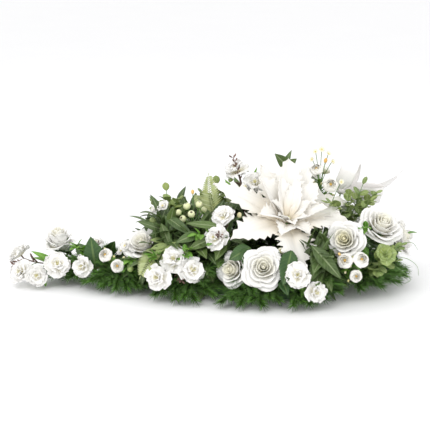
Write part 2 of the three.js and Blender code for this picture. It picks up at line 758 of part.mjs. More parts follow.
const MINI_ROSES = {
  left: { root: [-214, -8, 20], fork: [-222, -36, 74],
    heads: [
      { pos: [-238, -58, 80], face: [-0.3, -0.7, 0.6], size: 30 },
      { pos: [-212, -76, 62], face: [0, -0.9, 0.4], size: 28 },
    ] },
  top: { root: [214, 42, 20], fork: [228, 48, 172],
    heads: [
      { pos: [214, 50, 240], face: [-0.2, -0.5, 0.8], size: 30 },
      { pos: [242, 24, 212], face: [0.1, -0.8, 0.6], size: 34 },
      { pos: [234, 88, 230], face: [0.3, 0.4, 0.8], size: 28 },
    ] },
  right: { root: [232, -62, 20], fork: [270, -118, 70],
    heads: [
      { pos: [258, -150, 98], face: [-0.2, -0.8, 0.5], size: 32 },
      { pos: [290, -150, 100], face: [0.3, -0.8, 0.6], size: 34 },
      { pos: [280, -158, 68], face: [0.1, -0.9, 0.2], size: 26 },
    ] },
  back: { root: [212, 82, 20], fork: [216, 116, 78],
    heads: [
      { pos: [196, 158, 92], face: [-0.2, 0.8, 0.6], size: 32 },
      { pos: [228, 160, 74], face: [0.2, 0.9, 0.3], size: 30 },
    ] },
};

const BERRIES = {
  root: [-44, -16, 20], fork: [-52, -30, 136],
  heads: [
    { pos: [-40, -38, 186], face: [0.1, -0.1, 1], size: 15 },
    { pos: [-66, -30, 180], face: [-0.4, 0, 1], size: 16 },
    { pos: [-56, -56, 170], face: [0, -0.6, 0.9], size: 16 },
    { pos: [-30, -22, 170], face: [0.6, 0.2, 0.8], size: 13 },
    { pos: [-84, -30, 166], face: [-0.9, 0, 0.6], size: 14 },
    { pos: [-74, -50, 158], face: [-0.6, -0.6, 0.6], size: 15 },
    { pos: [-46, -64, 150], face: [0.1, -0.9, 0.4], size: 14 },
    { pos: [-70, -66, 140], face: [-0.5, -0.8, 0.2], size: 14 },
  ],
};

const EUCALYPTUS = {
  profile: ROUND, length: 32, width: 30, lean: 1.05, droop: 0.3, radius: 1.5, from: 0.1, tiers: 5,
};
const LEAVES = { length: 90, width: 38, each: 3, tiers: 3, lean: 1.25, from: 0.04 };
const LEAFY = {
  eucalyptus_left: { ...EUCALYPTUS, root: [-96, 12, 20], tip: [-112, 40, 196] },
  eucalyptus_top: {
    ...EUCALYPTUS, root: [18, 22, 20], tip: [-2, 62, 206], tiers: 4, length: 26, width: 22, lean: 1.15,
  },
  eucalyptus_right: { ...EUCALYPTUS, root: [250, 22, 20], tip: [316, 50, 208] },
  eucalyptus_end: { ...EUCALYPTUS, root: [244, -36, 20], tip: [366, -108, 84] },
  leaves_left: { ...LEAVES, root: [-110, -16, 20], tip: [-100, -62, 146], bow: [0, -10, 10] },
  leaves_middle: {
    ...LEAVES, root: [-18, -34, 20], tip: [-62, -88, 132], bow: [0, -12, 12], width: 34,
  },
  leaves_front_right: { ...LEAVES, root: [196, -70, 20], tip: [214, -146, 100], bow: [0, -10, 20] },
  leaves_back_left: { ...LEAVES, root: [-80, 22, 20], tip: [-124, 90, 128], bow: [0, 10, 16] },
  leaves_back: { ...LEAVES, root: [70, 62, 20], tip: [52, 124, 156], bow: [0, 10, 26] },
  leaves_top: { ...LEAVES, root: [118, 34, 20], tip: [146, 86, 222], bow: [0, 12, 10], each: 2 },
};

const FERNS = {
  fern_front: { root: [-100, -24, 20], neck: [-118, -74, 102],
    fronds: [
      { way: [-0.5, -0.7, -0.3], up: [-0.3, -0.4, 0.85], length: 76, width: 40 },
      { way: [-0.75, -0.25, 0.55], up: [-0.4, -0.8, 0.5], length: 50, width: 30 },
    ] },
  fern_middle: { root: [-6, -4, 20], neck: [-8, 4, 150],
    fronds: [
      { way: [-0.25, 0.2, 0.95], up: [-0.3, -0.9, 0.2], length: 92, width: 48 },
      { way: [-0.7, 0.6, 0.7], up: [0, -0.8, 0.5], length: 80, width: 40 },
    ] },
  fern_back: { root: [166, 88, 20], neck: [166, 118, 78],
    fronds: [
      { way: [-0.1, 0.9, 0.05], up: [0, 0, 1], length: 92, width: 50 },
      { way: [0.5, 0.6, 0.75], up: [0, 0.5, 0.8], length: 80, width: 44 },
    ] },
};

// Pine picks round the rim: where each enters the foam, where it forks, and its twig tips
const PINES = {
  pine_tip: [[-236, 0, 20], [-272, 0, 26],
    [[-322, -36, 22], [-392, -6, 18], [-372, 48, 18], [-322, 70, 20]]],
  pine_front_left: [[-194, -10, 22], [-204, -40, 30],
    [[-284, -60, 22], [-244, -84, 20], [-192, -96, 18], [-152, -88, 26]]],
  pine_front_middle: [[-92, -30, 22], [-82, -74, 30],
    [[-130, -130, 18], [-88, -148, 16], [-48, -154, 16], [-10, -148, 24]]],
  pine_front: [[60, -62, 22], [62, -106, 30],
    [[6, -168, 16], [46, -180, 16], [90, -186, 16], [126, -172, 20]]],
  pine_front_right: [[172, -78, 22], [178, -122, 30],
    [[152, -188, 16], [184, -182, 18], [218, -160, 20], [250, -134, 26]]],
  pine_right: [[240, -54, 22], [284, -60, 32],
    [[296, -118, 26], [342, -100, 26], [380, -76, 28], [398, -44, 30]]],
  pine_end: [[246, 46, 22], [312, 34, 30],
    [[406, -6, 22], [412, 30, 20], [394, 74, 20], [354, 106, 20]]],
  pine_back_right: [[216, 76, 22], [236, 128, 30],
    [[308, 164, 18], [262, 198, 16], [218, 204, 16], [176, 186, 22]]],
  pine_back: [[80, 66, 22], [78, 116, 30],
    [[130, 192, 16], [80, 196, 16], [34, 184, 16], [-8, 160, 20]]],
  pine_back_left: [[-94, 32, 22], [-104, 78, 30],
    [[-60, 146, 16], [-110, 152, 16], [-160, 132, 16], [-206, 108, 18]]],
};

// The satin bow behind the flowers: two loops and a tail of one ribbon width, on a wire. Each
// is a path of points from the knot, and the way across the ribbon.
const BOW = {
  root: [232, 22, 20], knot: [272, 82, 184], width: 38, knotRadius: 9,
  strips: [
    { across: [0.92, 0.1, -0.35],
      points: [
        [-3, -4, 0], [6, -10, 26], [16, -8, 52], [24, 8, 64], [28, 24, 50], [22, 22, 24], [2, 6, 2],
      ] },
    { across: [0.18, -0.15, 0.97],
      points: [
        [2, -4, -2], [40, -8, -8], [80, 2, -12], [94, 20, -12], [70, 34, -8], [30, 22, -4], [0, 6, -3],
      ] },
    { across: [0.25, -0.65, 0.7],
      points: [[0, 3, 0], [44, 48, -8], [84, 58, -10], [114, 58, 4], [134, 56, 22]] },
  ],
};
const RIBBON_END = 0.2; // share of the width where a strip is gathered in the knot

function bow({ root, knot, width, knotRadius, strips }) {
  const [a, b] = [at(root), at(knot)];
  const strip = ({ points, across }) => {
    const curve = new THREE.CatmullRomCurve3(points.map((p) => at(p).add(b)));
    const steps = Math.round((points.length - 1) * 1.35);
    const side = at(across).normalize();
    const loop = points.length > 5;
    const sections = times(steps + 1, (j) => {
      const way = curve.getTangent(j / steps);
      const out = side.clone().cross(way).normalize().multiplyScalar(BLADE / 2);
      const half = (width / 2) * (j === 0 || (loop && j === steps) ? RIBBON_END : 1);
      return [[1, -1], [-1, -1], [-1, 1], [1, 1]].map(([s, t]) =>
        curve.getPoint(j / steps).addScaledVector(side, s * half).addScaledVector(out, t),
      );
    });
    const s = surface();
    s.start(sections[0]);
    sections.slice(1).forEach((section, i) => s.joinBlade(sections[i], section));
    s.end(sections[steps]);
    return s.body();
  };
  const centre = new THREE.Matrix4().makeTranslation(...knot);
  const tied = loft([[0.5, -0.8], [1, -0.3], [1, 0.4], [0.4, 0.9]].map(([r, z]) =>
    petalLoop(6, [[0, r, z]], knotRadius, centre),
  ));
  return { make: () => [rod(a, b, STEM), tied, ...strips.map(strip)], stem: { a, b, radius: STEM } };
}

// Assembly. Stems and flowers keep their whole shape. A leaf, frond or needle that would come
// nearer than the clearance to another piece is turned or shortened, or else left out.
const taken = [];
const holes = [];
const nodes = new Map();

const near = (box, other) =>
  [0, 1, 2].every((k) => box.min[k] <= other.max[k] + GAP && box.max[k] >= other.min[k] - GAP);

function meets(part, owner) {
  const box = part.boundingBox();
  return taken.some(
    (t) => t.owner !== owner && near(box, t.box) && part.minGap(t.part, GAP * 2) < CLEAR,
  );
}

function take(name, parts) {
  nodes.get(name).parts = parts;
  for (let i = taken.length - 1; i >= 0; i--) if (taken[i].owner === name) taken.splice(i, 1);
  parts.forEach((part) => taken.push({ owner: name, part, box: part.boundingBox() }));
}

// The bare form of a piece, without what may be left out, holds its place for the pieces to come
function addNode(name, colour, made) {
  const bare = made.parts ?? made.make(() => false);
  nodes.set(name, { colour, make: made.make });
  take(name, bare);
  if (!made.stem) return;
  const { a, b, radius, sides = 3 } = made.stem;
  const past = a.clone().addScaledVector(b.clone().sub(a).normalize(), -GAP);
  holes.push(rod(past, b, radius + (sides === 3 ? 2 : Math.SQRT2) * GAP, sides));
}

// Blades that would cross in one node are kept apart too
function grow(name) {
  const { make, parts } = nodes.get(name);
  if (!make) return;
  const own = [];
  const bare = parts.map((part) => ({ part, box: part.boundingBox() }));
  const fits = (part, sunk = false) => {
    const box = part.boundingBox();
    const crossed = (sunk ? own : [...own, ...bare]).some(
      (o) => near(box, o.box) && part.intersect(o.part).volume() > CROSSING,
    );
    if (crossed || meets(part, name)) return false;
    own.push({ part, box });
    return true;
  };
  take(name, make(fits));
}

const bracts = poinsettiaPetals(POINSETTIA);
addNode("poinsettia_petals", COLOURS.petal, bracts);
grow("poinsettia_petals");
addNode("poinsettia_eye", COLOURS.berry, { parts: poinsettiaEye(bracts.base, bracts.hubTop) });
const [flowerRoot, flowerNeck, flowerFoot] = [
  at(POINSETTIA.root),
  V(0, 0, bracts.hubLow - POINSETTIA.neck).applyMatrix4(bracts.base),
  V(0, 0, bracts.hubLow - GAP).applyMatrix4(bracts.base),
];
addNode("poinsettia_stem", COLOURS.stem, {
  make: (fits) => [stalk({ points: [flowerRoot, flowerNeck, flowerFoot], radii: [3, 3, 3.4] }, fits)],
  stem: { a: flowerRoot, b: flowerNeck, radius: 3 },
});
for (const [name, rose] of Object.entries(ROSES)) {
  const bloom = roseBloom(rose);
  addNode(`rose_${name}`, COLOURS.petal, bloom);
  addNode(`rose_${name}_stem`, COLOURS.leaf, roseStem(rose, bloom));
}
for (const [name, sprig] of Object.entries(BLOSSOMS))
  addNode(`blossom_${name}`, COLOURS.petal, spray(sprig, "blossom"));
for (const [name, sprig] of Object.entries(MINI_ROSES))
  addNode(`mini_rose_${name}`, COLOURS.cream, spray(sprig, "miniRose"));
addNode("berries", COLOURS.berry, spray(BERRIES, "berry"));
for (const [name, pick] of Object.entries(FERNS)) addNode(name, COLOURS.fern, fernPick(pick));
addNode("ribbon_bow", COLOURS.ribbon, bow(BOW));
for (const [name, sprig] of Object.entries(LEAFY))
  addNode(name, name.startsWith("euc") ? COLOURS.pale : COLOURS.leaf, leafy(sprig));
Object.entries(PINES).forEach(([name, [root, neck, tips]], i) =>
  addNode(name, COLOURS.pine, pine({ root, neck, tips, seed: 40 + 10 * i })),
);
[...nodes.keys()].filter((name) => name !== "poinsettia_petals").forEach(grow);

const foam = holes.reduce(
  (block, hole) => block.subtract(hole),
  prism(drop(0), TRAY.floor + GAP, FOAM.top),
);

const model = new THREE.Group();
function addMesh(name, colour, body) {
  const mesh = body.getMesh();
  const geometry = new THREE.BufferGeometry();
  geometry.setAttribute("position", new THREE.BufferAttribute(mesh.vertProperties, 3));
  geometry.setIndex(new THREE.BufferAttribute(mesh.triVerts, 1));
  geometry.computeVertexNormals();
  const material = new THREE.MeshStandardMaterial({ color: colour, roughness: 0.7, metalness: 0 });
  const shown = new THREE.Mesh(geometry, material);
  shown.name = name;
  model.add(shown);
}

addMesh("tray", COLOURS.tray, tray());
addMesh("foam", COLOURS.foam, foam);
for (const [name, { colour, parts }] of nodes)
  addMesh(name, colour, wasm.Manifold.union(parts));

export default model;
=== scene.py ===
"""A teardrop funeral arrangement: the looks of its flowers, leaves, needles and ribbon.

Tables are in millimetres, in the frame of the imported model: +X runs from the pointed end of the
drop to its round end, -Y is the front, +Z is up, and the origin is on the underside of the tray.
"""

import math
import random
from collections import namedtuple

import bpy
import numpy as np
from bpy.props import FloatProperty, FloatVectorProperty, PointerProperty
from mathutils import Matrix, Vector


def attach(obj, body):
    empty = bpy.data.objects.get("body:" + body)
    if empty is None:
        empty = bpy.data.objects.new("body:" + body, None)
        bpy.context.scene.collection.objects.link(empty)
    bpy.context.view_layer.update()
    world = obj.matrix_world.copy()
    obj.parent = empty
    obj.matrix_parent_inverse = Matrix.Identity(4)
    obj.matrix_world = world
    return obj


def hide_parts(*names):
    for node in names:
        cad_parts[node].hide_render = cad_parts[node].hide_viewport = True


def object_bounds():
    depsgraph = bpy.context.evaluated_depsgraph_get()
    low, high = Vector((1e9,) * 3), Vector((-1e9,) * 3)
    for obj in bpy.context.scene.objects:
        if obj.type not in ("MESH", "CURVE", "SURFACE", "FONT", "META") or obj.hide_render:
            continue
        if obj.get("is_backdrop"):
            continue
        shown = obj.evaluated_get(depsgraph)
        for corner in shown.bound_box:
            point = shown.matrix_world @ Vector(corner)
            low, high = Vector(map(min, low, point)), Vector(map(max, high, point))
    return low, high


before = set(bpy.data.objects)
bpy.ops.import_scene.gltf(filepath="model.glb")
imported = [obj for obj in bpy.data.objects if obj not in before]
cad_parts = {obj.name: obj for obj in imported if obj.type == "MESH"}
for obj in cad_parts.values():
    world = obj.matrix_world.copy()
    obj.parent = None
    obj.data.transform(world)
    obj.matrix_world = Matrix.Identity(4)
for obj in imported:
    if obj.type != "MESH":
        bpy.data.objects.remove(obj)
CAD_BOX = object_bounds()

bl_info = {
    "name": "Teardrop Arrangement",
    "version": (1, 0, 0),
    "blender": (4, 5, 0),
    "location": "View3D > Sidebar > Arrangement",
    "description": "Dresses a teardrop flower arrangement with petals, leaves, needles and ribbon",
    "category": "Add Mesh",
}

MM = 0.001
TURN = 2 * math.pi
SPIRAL = 2.4  # the turn from one leaf, bud or needle to the next, so that none line up
TINY = 1e-9  # keeps a length of nothing from dividing
UP = np.array([0.0, 0.0, 1.0])
ACROSS = np.array([1.0, 0.0, 0.0])
TO_FRONT = np.array([0.0, -0.9, 0.5])
LEVEL = 0.05  # a cross product shorter than this counts as parallel
FLAT = 1e-6  # a bend per millimetre below this is none
TABLE = 1.2  # nothing but the tray comes lower than this

# The poinsettia: its middle, the way it faces, where its stem enters the foam, how far below the
# hub the stem bends, the heights of the hub's two ends, and its bracts, ring by ring
Bract = namedtuple("Bract", "turn length width rise droop")
POINSETTIA = {
    "pos": (145, -48, 152), "face": (0.2, -0.42, 0.88), "root": (150, -10, 20),
    "neck": 20, "low": -12, "top": 6,
    "outer": [
        Bract(0.15, 150, 76, 0.48, 0.7), Bract(0.9, 138, 66, 0.6, 0.3), Bract(1.75, 130, 62, 0.68, 0.3),
        Bract(2.42, 166, 70, 0.32, 0.3), Bract(3.22, 130, 70, 0.24, 0.6), Bract(4.56, 124, 80, 0.3, 1.0),
        Bract(5.95, 142, 74, 0.7, 1.2)],
    "inner": [
        Bract(0.53, 98, 50, 0.9, 0.5), Bract(1.3, 128, 60, 0.84, 0.3), Bract(2.32, 104, 54, 1.02, 0.4),
        Bract(3.22, 74, 44, 1.0, 0.9), Bract(4.12, 56, 38, 0.8, 1.1), Bract(5.02, 58, 38, 0.8, 1.1),
        Bract(5.91, 84, 46, 1.0, 0.7)],
    "heart": [
        Bract(0.98, 84, 36, 1.2, 0.35), Bract(1.87, 90, 38, 1.15, 0.35), Bract(2.77, 66, 32, 1.2, 0.5),
        Bract(3.67, 44, 26, 1.2, 0.7), Bract(4.57, 40, 24, 1.15, 0.9), Bract(5.47, 46, 26, 1.2, 0.7),
        Bract(6.37, 60, 32, 1.2, 0.5)],
}
# Half width along its length: of an outer bract and of an upright one inside, of long, oval and
# round leaves, and of a frilled petal
OPEN_BRACT = [(0.0, 0.2), (0.1, 0.42), (0.24, 0.86), (0.4, 1.0), (0.56, 0.92), (0.7, 0.7), (0.82, 0.42),
              (0.92, 0.2), (1.0, 0.02)]
INNER_BRACT = [(0.0, 0.34), (0.12, 0.56), (0.3, 0.88), (0.5, 1.0), (0.68, 0.94), (0.82, 0.68),
               (0.92, 0.38), (1.0, 0.04)]
LANCE = [(0, 0.1), (0.08, 0.3), (0.22, 0.78), (0.38, 1), (0.55, 0.94), (0.72, 0.7), (0.88, 0.34), (1, 0.03)]
OVAL = [(0, 0.12), (0.07, 0.4), (0.2, 0.85), (0.38, 1), (0.6, 0.92), (0.8, 0.6), (0.92, 0.28), (1, 0.03)]
ROUND = [(0, 0.2), (0.12, 0.55), (0.3, 0.9), (0.52, 1), (0.75, 0.86), (0.92, 0.5), (1, 0.12)]
FRILLED = [(0, 0.14), (0.25, 0.56), (0.55, 0.94), (0.78, 1.0), (0.93, 0.86), (1, 0.66)]
# How far out and how high each ring of bracts starts, its half widths, the rows of its mesh, how
# deep its waves, fold and curl are, and its teeth: from where, to where, how many and how deep
BRACT_RINGS = {
    "outer": (12, -6, OPEN_BRACT, 60, 5, 0.2, 0.0, (0.2, 0.94, 6, 0.34)),
    "inner": (12.5, 0, INNER_BRACT, 44, 4, 0.3, 0.5, (0.5, 0.96, 4, 0.3)),
    "heart": (9.5, 3, INNER_BRACT, 26, 3, 0.4, 0.5, (0.6, 0.96, 3, 0.24)),
}
BRACT_THICKNESS = 0.9
POINSETTIA_CLEAR = 34  # leaves keep this far from its heart
ROLLS_FROM = 0.62  # a petal rolls out, closes in or dips above this share of its height
# A leaf is looked at in three places along it, and keeps out of this share of a flower's radius
# and above this height
LEAF_CHECKS = (0.45, 0.75, 1.0)
BLOOM_SHARE = 0.96
LEAF_LOW = 3

MIDDLE_ROSE = 36  # radius of a middling rose, which the thickness of a petal goes by
# Roses: place, facing, radius, how wide and how tall they open and how warm their heart is, and
# where the stem enters the foam
ROSES = {
    "left": ((-160, -42, 100), (-0.3, -0.5, 0.8), 37, (1.0, 1.0, 0.6), (-138, -2, 20)),
    "tip": ((-350, 42, 84), (-0.15, -0.1, 1), 32, (0.9, 1.5, 0.6), (-236, 7, 20)),
    "front_left": ((30, -128, 72), (-0.6, -0.75, 0.3), 32, (1.0, 1.0, 0.9), (52, -68, 20)),
    "front": ((92, -154, 84), (-0.05, -0.86, 0.5), 38, (1.0, 1.0, 0.6), (96, -72, 20)),
    "right_front": ((262, -102, 128), (-0.3, -0.8, 0.5), 35, (1.0, 1.0, 1.3), (232, -48, 20)),
    "right": ((346, -42, 142), (0.3, -0.5, 0.8), 40, (1.0, 1.0, 0.6), (240, -12, 20)),
    "right_end": ((396, 8, 98), (0.85, -0.2, 0.5), 34, (1.0, 1.0, 0.6), (244, 18, 20)),
    "back_right": ((284, 130, 116), (0.25, 0.75, 0.6), 38, (1.0, 1.0, 0.6), (240, 56, 20)),
    "back": ((118, 142, 104), (-0.1, 0.84, 0.5), 38, (1.0, 1.0, 0.6), (126, 68, 20)),
}
# Rings of rose petals from the outside in: how many, how far out their lip stands, the height
# of foot and lip, and how far the lip rolls outwards, all in bloom radii
ROSE_RINGS = [
    (5, 1.0, -0.5, 0.02, 0.24), (5, 0.9, -0.46, 0.26, 0.2), (5, 0.7, -0.42, 0.42, 0.13),
    (4, 0.52, -0.36, 0.5, 0.08), (3, 0.36, -0.3, 0.55, 0.05), (3, 0.22, -0.24, 0.58, 0.03),
    (2, 0.11, -0.16, 0.58, 0.0),
]
# Where leaves leave a rose stem: share of its length, and turn round it
ROSE_LEAVES = [(0.86, 0.0), (0.84, 2.1), (0.8, 4.3), (0.6, 1.0), (0.56, 3.1), (0.52, 5.2),
               (0.34, 0.3), (0.3, 2.4), (0.26, 4.6)]
# Single leaves with a place of their own: foot, tip and width
ROSE_LEAVES_SET = {
    "tip": [((-262, -40, 46), (-270, -46, 118), 44), ((-236, 20, 60), (-222, -10, 96), 26)],
    "front": [((66, -118, 116), (22, -138, 96), 34), ((66, -118, 114), (50, -146, 90), 30),
              ((150, -132, 114), (130, -188, 58), 38), ((128, -150, 62), (140, -196, 40), 24)],
    "right": [((300, -60, 92), (286, -104, 66), 32)],
    "left": [((-146, -20, 60), (-182, -70, 56), 30)],
}
LONG_LEAVES_SET = {
    "front_right": [((190, -142, 128), (248, -178, 68), 30), ((196, -120, 120), (212, -158, 54), 30)],
    "middle": [((6, -96, 154), (-68, -96, 162), 17), ((-40, -96, 140), (-88, -124, 128), 22),
               ((-10, -100, 132), (-64, -124, 112), 22), ((14, -90, 122), (-6, -132, 92), 24)],
    "left": [((-104, -50, 128), (-172, -40, 150), 17), ((-110, -30, 96), (-160, -10, 128), 20),
             ((-112, -56, 166), (-50, -102, 136), 22), ((-120, -56, 150), (-98, -92, 104), 20)],
    "top": [((158, 92, 230), (124, 76, 270), 27), ((150, 90, 234), (173, 84, 257), 20)],
}
# Sprigs of small bright leaves: foot and tip
SPRIGS = {
    "tip": [((-288, 4, 50), (-304, -16, 86)), ((-282, 0, 48), (-288, -24, 78))],
    "left": [((-146, -20, 70), (-186, -64, 72)), ((-150, -20, 70), (-128, -82, 96)),
             ((-150, -20, 70), (-200, -60, 58))],
    "right": [((318, -34, 110), (300, -88, 98)), ((318, -34, 116), (306, -86, 150))],
    "right_end": [((330, 14, 70), (412, 20, 104))],
}
# Rings of petals of a small rose, in the same way as those of a rose but with no roll
CUP_RINGS = [(5, 1.0, -0.6, 0.42), (5, 0.84, -0.55, 0.5), (4, 0.6, -0.5, 0.5), (3, 0.36, -0.4, 0.46)]

# Sprays: root, fork, then each head as position, facing and width
BLOSSOMS = {
    "tip": ((-236, -8, 32), (-352, -12, 50), [
        ((-430, 12, 58), (-0.6, 0.3, 0.7), 46), ((-420, -36, 34), (-0.5, -0.7, 0.5), 48),
        ((-388, -46, 30), (0.1, -0.9, 0.35), 44), ((-344, -42, 54), (0.2, -0.75, 0.6), 50)]),
    "left": ((-224, -12, 20), (-262, -34, 74), [
        ((-286, -52, 52), (-0.5, -0.8, 0.3), 44), ((-262, -14, 88), (-0.2, -0.1, 1), 38)]),
    "front_left": ((-78, -42, 20), (-98, -92, 60), [
        ((-124, -134, 56), (-0.4, -0.8, 0.4), 50), ((-90, -116, 88), (-0.2, -0.7, 0.7), 54),
        ((-54, -128, 70), (0.3, -0.9, 0.4), 52)]),
    "middle": ((16, -46, 20), (4, -72, 108), [
        ((-4, -108, 132), (-0.5, -0.75, 0.45), 50), ((12, -78, 170), (-0.2, -0.6, 0.8), 46)]),
    "top": ((62, 26, 20), (58, 40, 168), [
        ((42, 62, 234), (-0.4, -0.3, 0.8), 52), ((80, 22, 218), (-0.1, -0.8, 0.5), 46)]),
    "front_right": ((150, -78, 20), (160, -132, 54), [
        ((160, -176, 74), (0, -0.85, 0.5), 50), ((196, -182, 42), (0.35, -0.9, 0.15), 42)]),
    "back_left": ((-18, 50, 20), (-34, 78, 96), [
        ((-62, 116, 116), (-0.4, 0.7, 0.6), 52), ((-16, 108, 148), (0, 0.6, 0.8), 50),
        ((-88, 96, 80), (-0.6, 0.7, 0.3), 46)]),
    "back_top": ((178, 58, 20), (182, 84, 130), [
        ((160, 118, 178), (-0.2, 0.7, 0.7), 52), ((206, 112, 196), (0.3, 0.6, 0.8), 50)]),
}
# Long leaves on the twigs of a spray: foot, tip and width
BLOSSOM_LEAVES = {
    "tip": [((-354, -14, 52), (-402, -22, 78), 12), ((-352, -12, 48), (-372, -40, 60), 11)],
    "front_left": [((-98, -92, 62), (-112, -124, 104), 14), ((-98, -92, 60), (-76, -132, 100), 15)],
    "middle": [((4, -72, 110), (-26, -104, 152), 14)],
    "top": [((58, 40, 170), (84, 26, 252), 14), ((58, 40, 160), (14, 40, 222), 15)],
}
# Sprigs of small bright leaves on the same twigs: foot and tip
BLOSSOM_SPRIGS = {
    "middle": [((-8, -66, 118), (-44, -110, 142)), ((-4, -70, 106), (-16, -120, 126))],
    "front_left": [((-98, -92, 60), (-64, -124, 112)), ((-98, -92, 62), (-136, -112, 96))],
}
# Whorls of blossom petals: how many, their size, how far up they start and how far they tip up
WHORLS = [(5, 1.12, -0.05, 0.12), (5, 0.96, 0.05, -0.34), (4, 0.64, 0.14, -0.85)]
# Small roses and the berries, in the same way as the sprays of blossoms
MINI_ROSES = {
    "left": ((-214, -8, 20), (-222, -36, 74), [
        ((-238, -58, 80), (-0.3, -0.7, 0.6), 30), ((-212, -76, 62), (0, -0.9, 0.4), 28)]),
    "top": ((214, 42, 20), (228, 48, 172), [
        ((214, 50, 240), (-0.2, -0.5, 0.8), 30), ((242, 24, 212), (0.1, -0.8, 0.6), 34),
        ((234, 88, 230), (0.3, 0.4, 0.8), 28)]),
    "right": ((232, -62, 20), (270, -118, 70), [
        ((258, -150, 98), (-0.2, -0.8, 0.5), 32), ((290, -150, 100), (0.3, -0.8, 0.6), 34),
        ((280, -158, 68), (0.1, -0.9, 0.2), 26)]),
    "back": ((212, 82, 20), (216, 116, 78), [
        ((196, 158, 92), (-0.2, 0.8, 0.6), 32), ((228, 160, 74), (0.2, 0.9, 0.3), 30)]),
}
BERRIES = ((-44, -16, 20), (-52, -30, 136), [
    ((-40, -38, 186), (0.1, -0.1, 1), 15), ((-66, -30, 180), (-0.4, 0, 1), 16),
    ((-56, -56, 170), (0, -0.6, 0.9), 16), ((-30, -22, 170), (0.6, 0.2, 0.8), 13),
    ((-84, -30, 166), (-0.9, 0, 0.6), 14), ((-74, -50, 158), (-0.6, -0.6, 0.6), 15),
    ((-46, -64, 150), (0.1, -0.9, 0.4), 14), ((-70, -66, 140), (-0.5, -0.8, 0.2), 14)])
# Which of its piece's finishes a part has, in greens, in flowers, in small roses and in buds
LEAF, TWIG, SPRIG = range(3)
PETAL, POLLEN, STAR = range(3)
BUD, HEART = 1, 2
ORANGE, GREEN, WIRE, CREAM = range(4)

# Twigs with a cluster of brown buds: foot and tip
BUD_CLUSTERS = [((58, 40, 176), (34, 54, 264)), ((-398, -12, 52), (-440, -14, 46)),
                ((4, -72, 112), (2, -118, 142)), ((-98, -92, 62), (-76, -136, 52))]
# Tiny flowers: the foot of their stems, then each flower as place, facing and width
TINY_FLOWERS = [
    ((222, 56, 190), [
        ((212, 66, 276), (-0.3, -0.6, 0.7), 13), ((226, 70, 280), (0, -0.7, 0.7), 14),
        ((240, 62, 272), (0.3, -0.6, 0.7), 13), ((248, 50, 258), (0.5, -0.8, 0.4), 12),
        ((204, 52, 262), (-0.5, -0.7, 0.4), 12)]),
    ((244, 0, 180), [((262, -4, 226), (0.2, -0.8, 0.5), 12)]),
    ((250, 20, 60), [((398, 40, 116), (0.4, -0.7, 0.5), 26), ((418, 44, 94), (0.5, -0.7, 0.3), 24)]),
    ((-138, -2, 40), [((-196, -46, 96), (-0.5, -0.6, 0.6), 26)]),
    ((-96, 12, 100), [((-116, -14, 174), (-0.5, -0.5, 0.7), 30), ((-134, -10, 164), (-0.7, -0.4, 0.6), 26)]),
    ((-138, -2, 40), [((-206, -30, 80), (-0.6, -0.5, 0.5), 24)]),
    ((140, -100, 60), [((128, -130, 112), (0.2, -0.9, 0.3), 16)]),
]
DOUBLE_FROM = 20  # a tiny flower wider than this is white and has two whorls
# Buds and pods: foot, top, width, height and finish
BALLS = [
    ((222, 56, 190), (234, 60, 258), 8, 12, ORANGE), ((-52, -30, 138), (-54, -10, 206), 7, 11, ORANGE),
    ((-110, -16, 80), (-139, -24, 146), 15, 17, GREEN), ((58, 40, 160), (54, -4, 213), 16, 18, CREAM),
    ((-138, -2, 30), (-184, -84, 58), 13, 15, GREEN), ((16, -46, 60), (44, -76, 174), 10, 13, CREAM),
    ((270, -118, 72), (246, -148, 112), 6, 9, ORANGE),
]

# Stems of round leaves: root and tip
EUCALYPTUS = {
    "left": ((-96, 12, 20), (-112, 40, 196)),
    "top": ((18, 22, 20), (-2, 62, 206)),
    "right": ((250, 22, 20), (316, 50, 208)),
    "end": ((244, -36, 20), (366, -108, 84)),
}
# More stems of the same sprigs: share of the main stem where they fork, and their tips
EUCALYPTUS_FORKS = {
    "left": [(0.5, (-138, 34, 168)), (0.6, (-84, 22, 184)), (0.4, (-74, 40, 150))],
    "top": [(0.5, (-34, 54, 186)), (0.6, (26, 74, 206)), (0.5, (-30, 74, 160))],
    "right": [(0.6, (226, -40, 194)), (0.5, (336, 12, 186)), (0.6, (348, 62, 184)), (0.5, (280, 10, 196))],
    "end": [(0.7, (382, -78, 108)), (0.6, (330, -126, 66)), (0.7, (344, -106, 92))],
}
# Single dusty leaves: foot, tip and width
DUSTY_LEAVES_SET = {
    "left": [((-98, -88, 114), (-114, -112, 84), 15), ((-100, -88, 114), (-94, -114, 88), 14),
             ((-104, -84, 112), (-142, -90, 104), 14), ((-104, -82, 114), (-136, -96, 90), 13),
             ((-96, -88, 118), (-72, -108, 104), 14), ((-112, -70, 116), (-142, -84, 122), 12)],
}
# A rosette of round leaves, its rings as how many, how far they rise and their size, and the
# tendrils that curl out under it
ROSETTE = {
    "pos": (344, -112, 98), "face": (0.15, -0.85, 0.5),
    "rings": [(7, 0.55, 1.0), (5, 0.95, 0.72), (3, 1.3, 0.5)],
}
TENDRILS = [
    [(352, -96, 80), (384, -112, 92), (414, -96, 70), (424, -74, 40)],
    [(356, -94, 78), (380, -122, 66), (400, -110, 44), (390, -98, 30)],
    [(350, -98, 76), (376, -90, 112), (404, -84, 116), (420, -70, 96)],
]
# Stems of long leaves: root, tip, and how far the middle bows out
LEAVES = {
    "left": ((-110, -16, 20), (-100, -62, 146), (0, -10, 10)),
    "middle": ((-18, -34, 20), (-62, -88, 132), (0, -12, 12)),
    "front_right": ((196, -70, 20), (214, -146, 100), (0, -10, 20)),
    "back_left": ((-80, 22, 20), (-124, 90, 128), (0, 10, 16)),
    "back": ((70, 62, 20), (52, 124, 156), (0, 10, 26)),
    "top": ((118, 34, 20), (146, 86, 222), (0, 12, 10)),
}
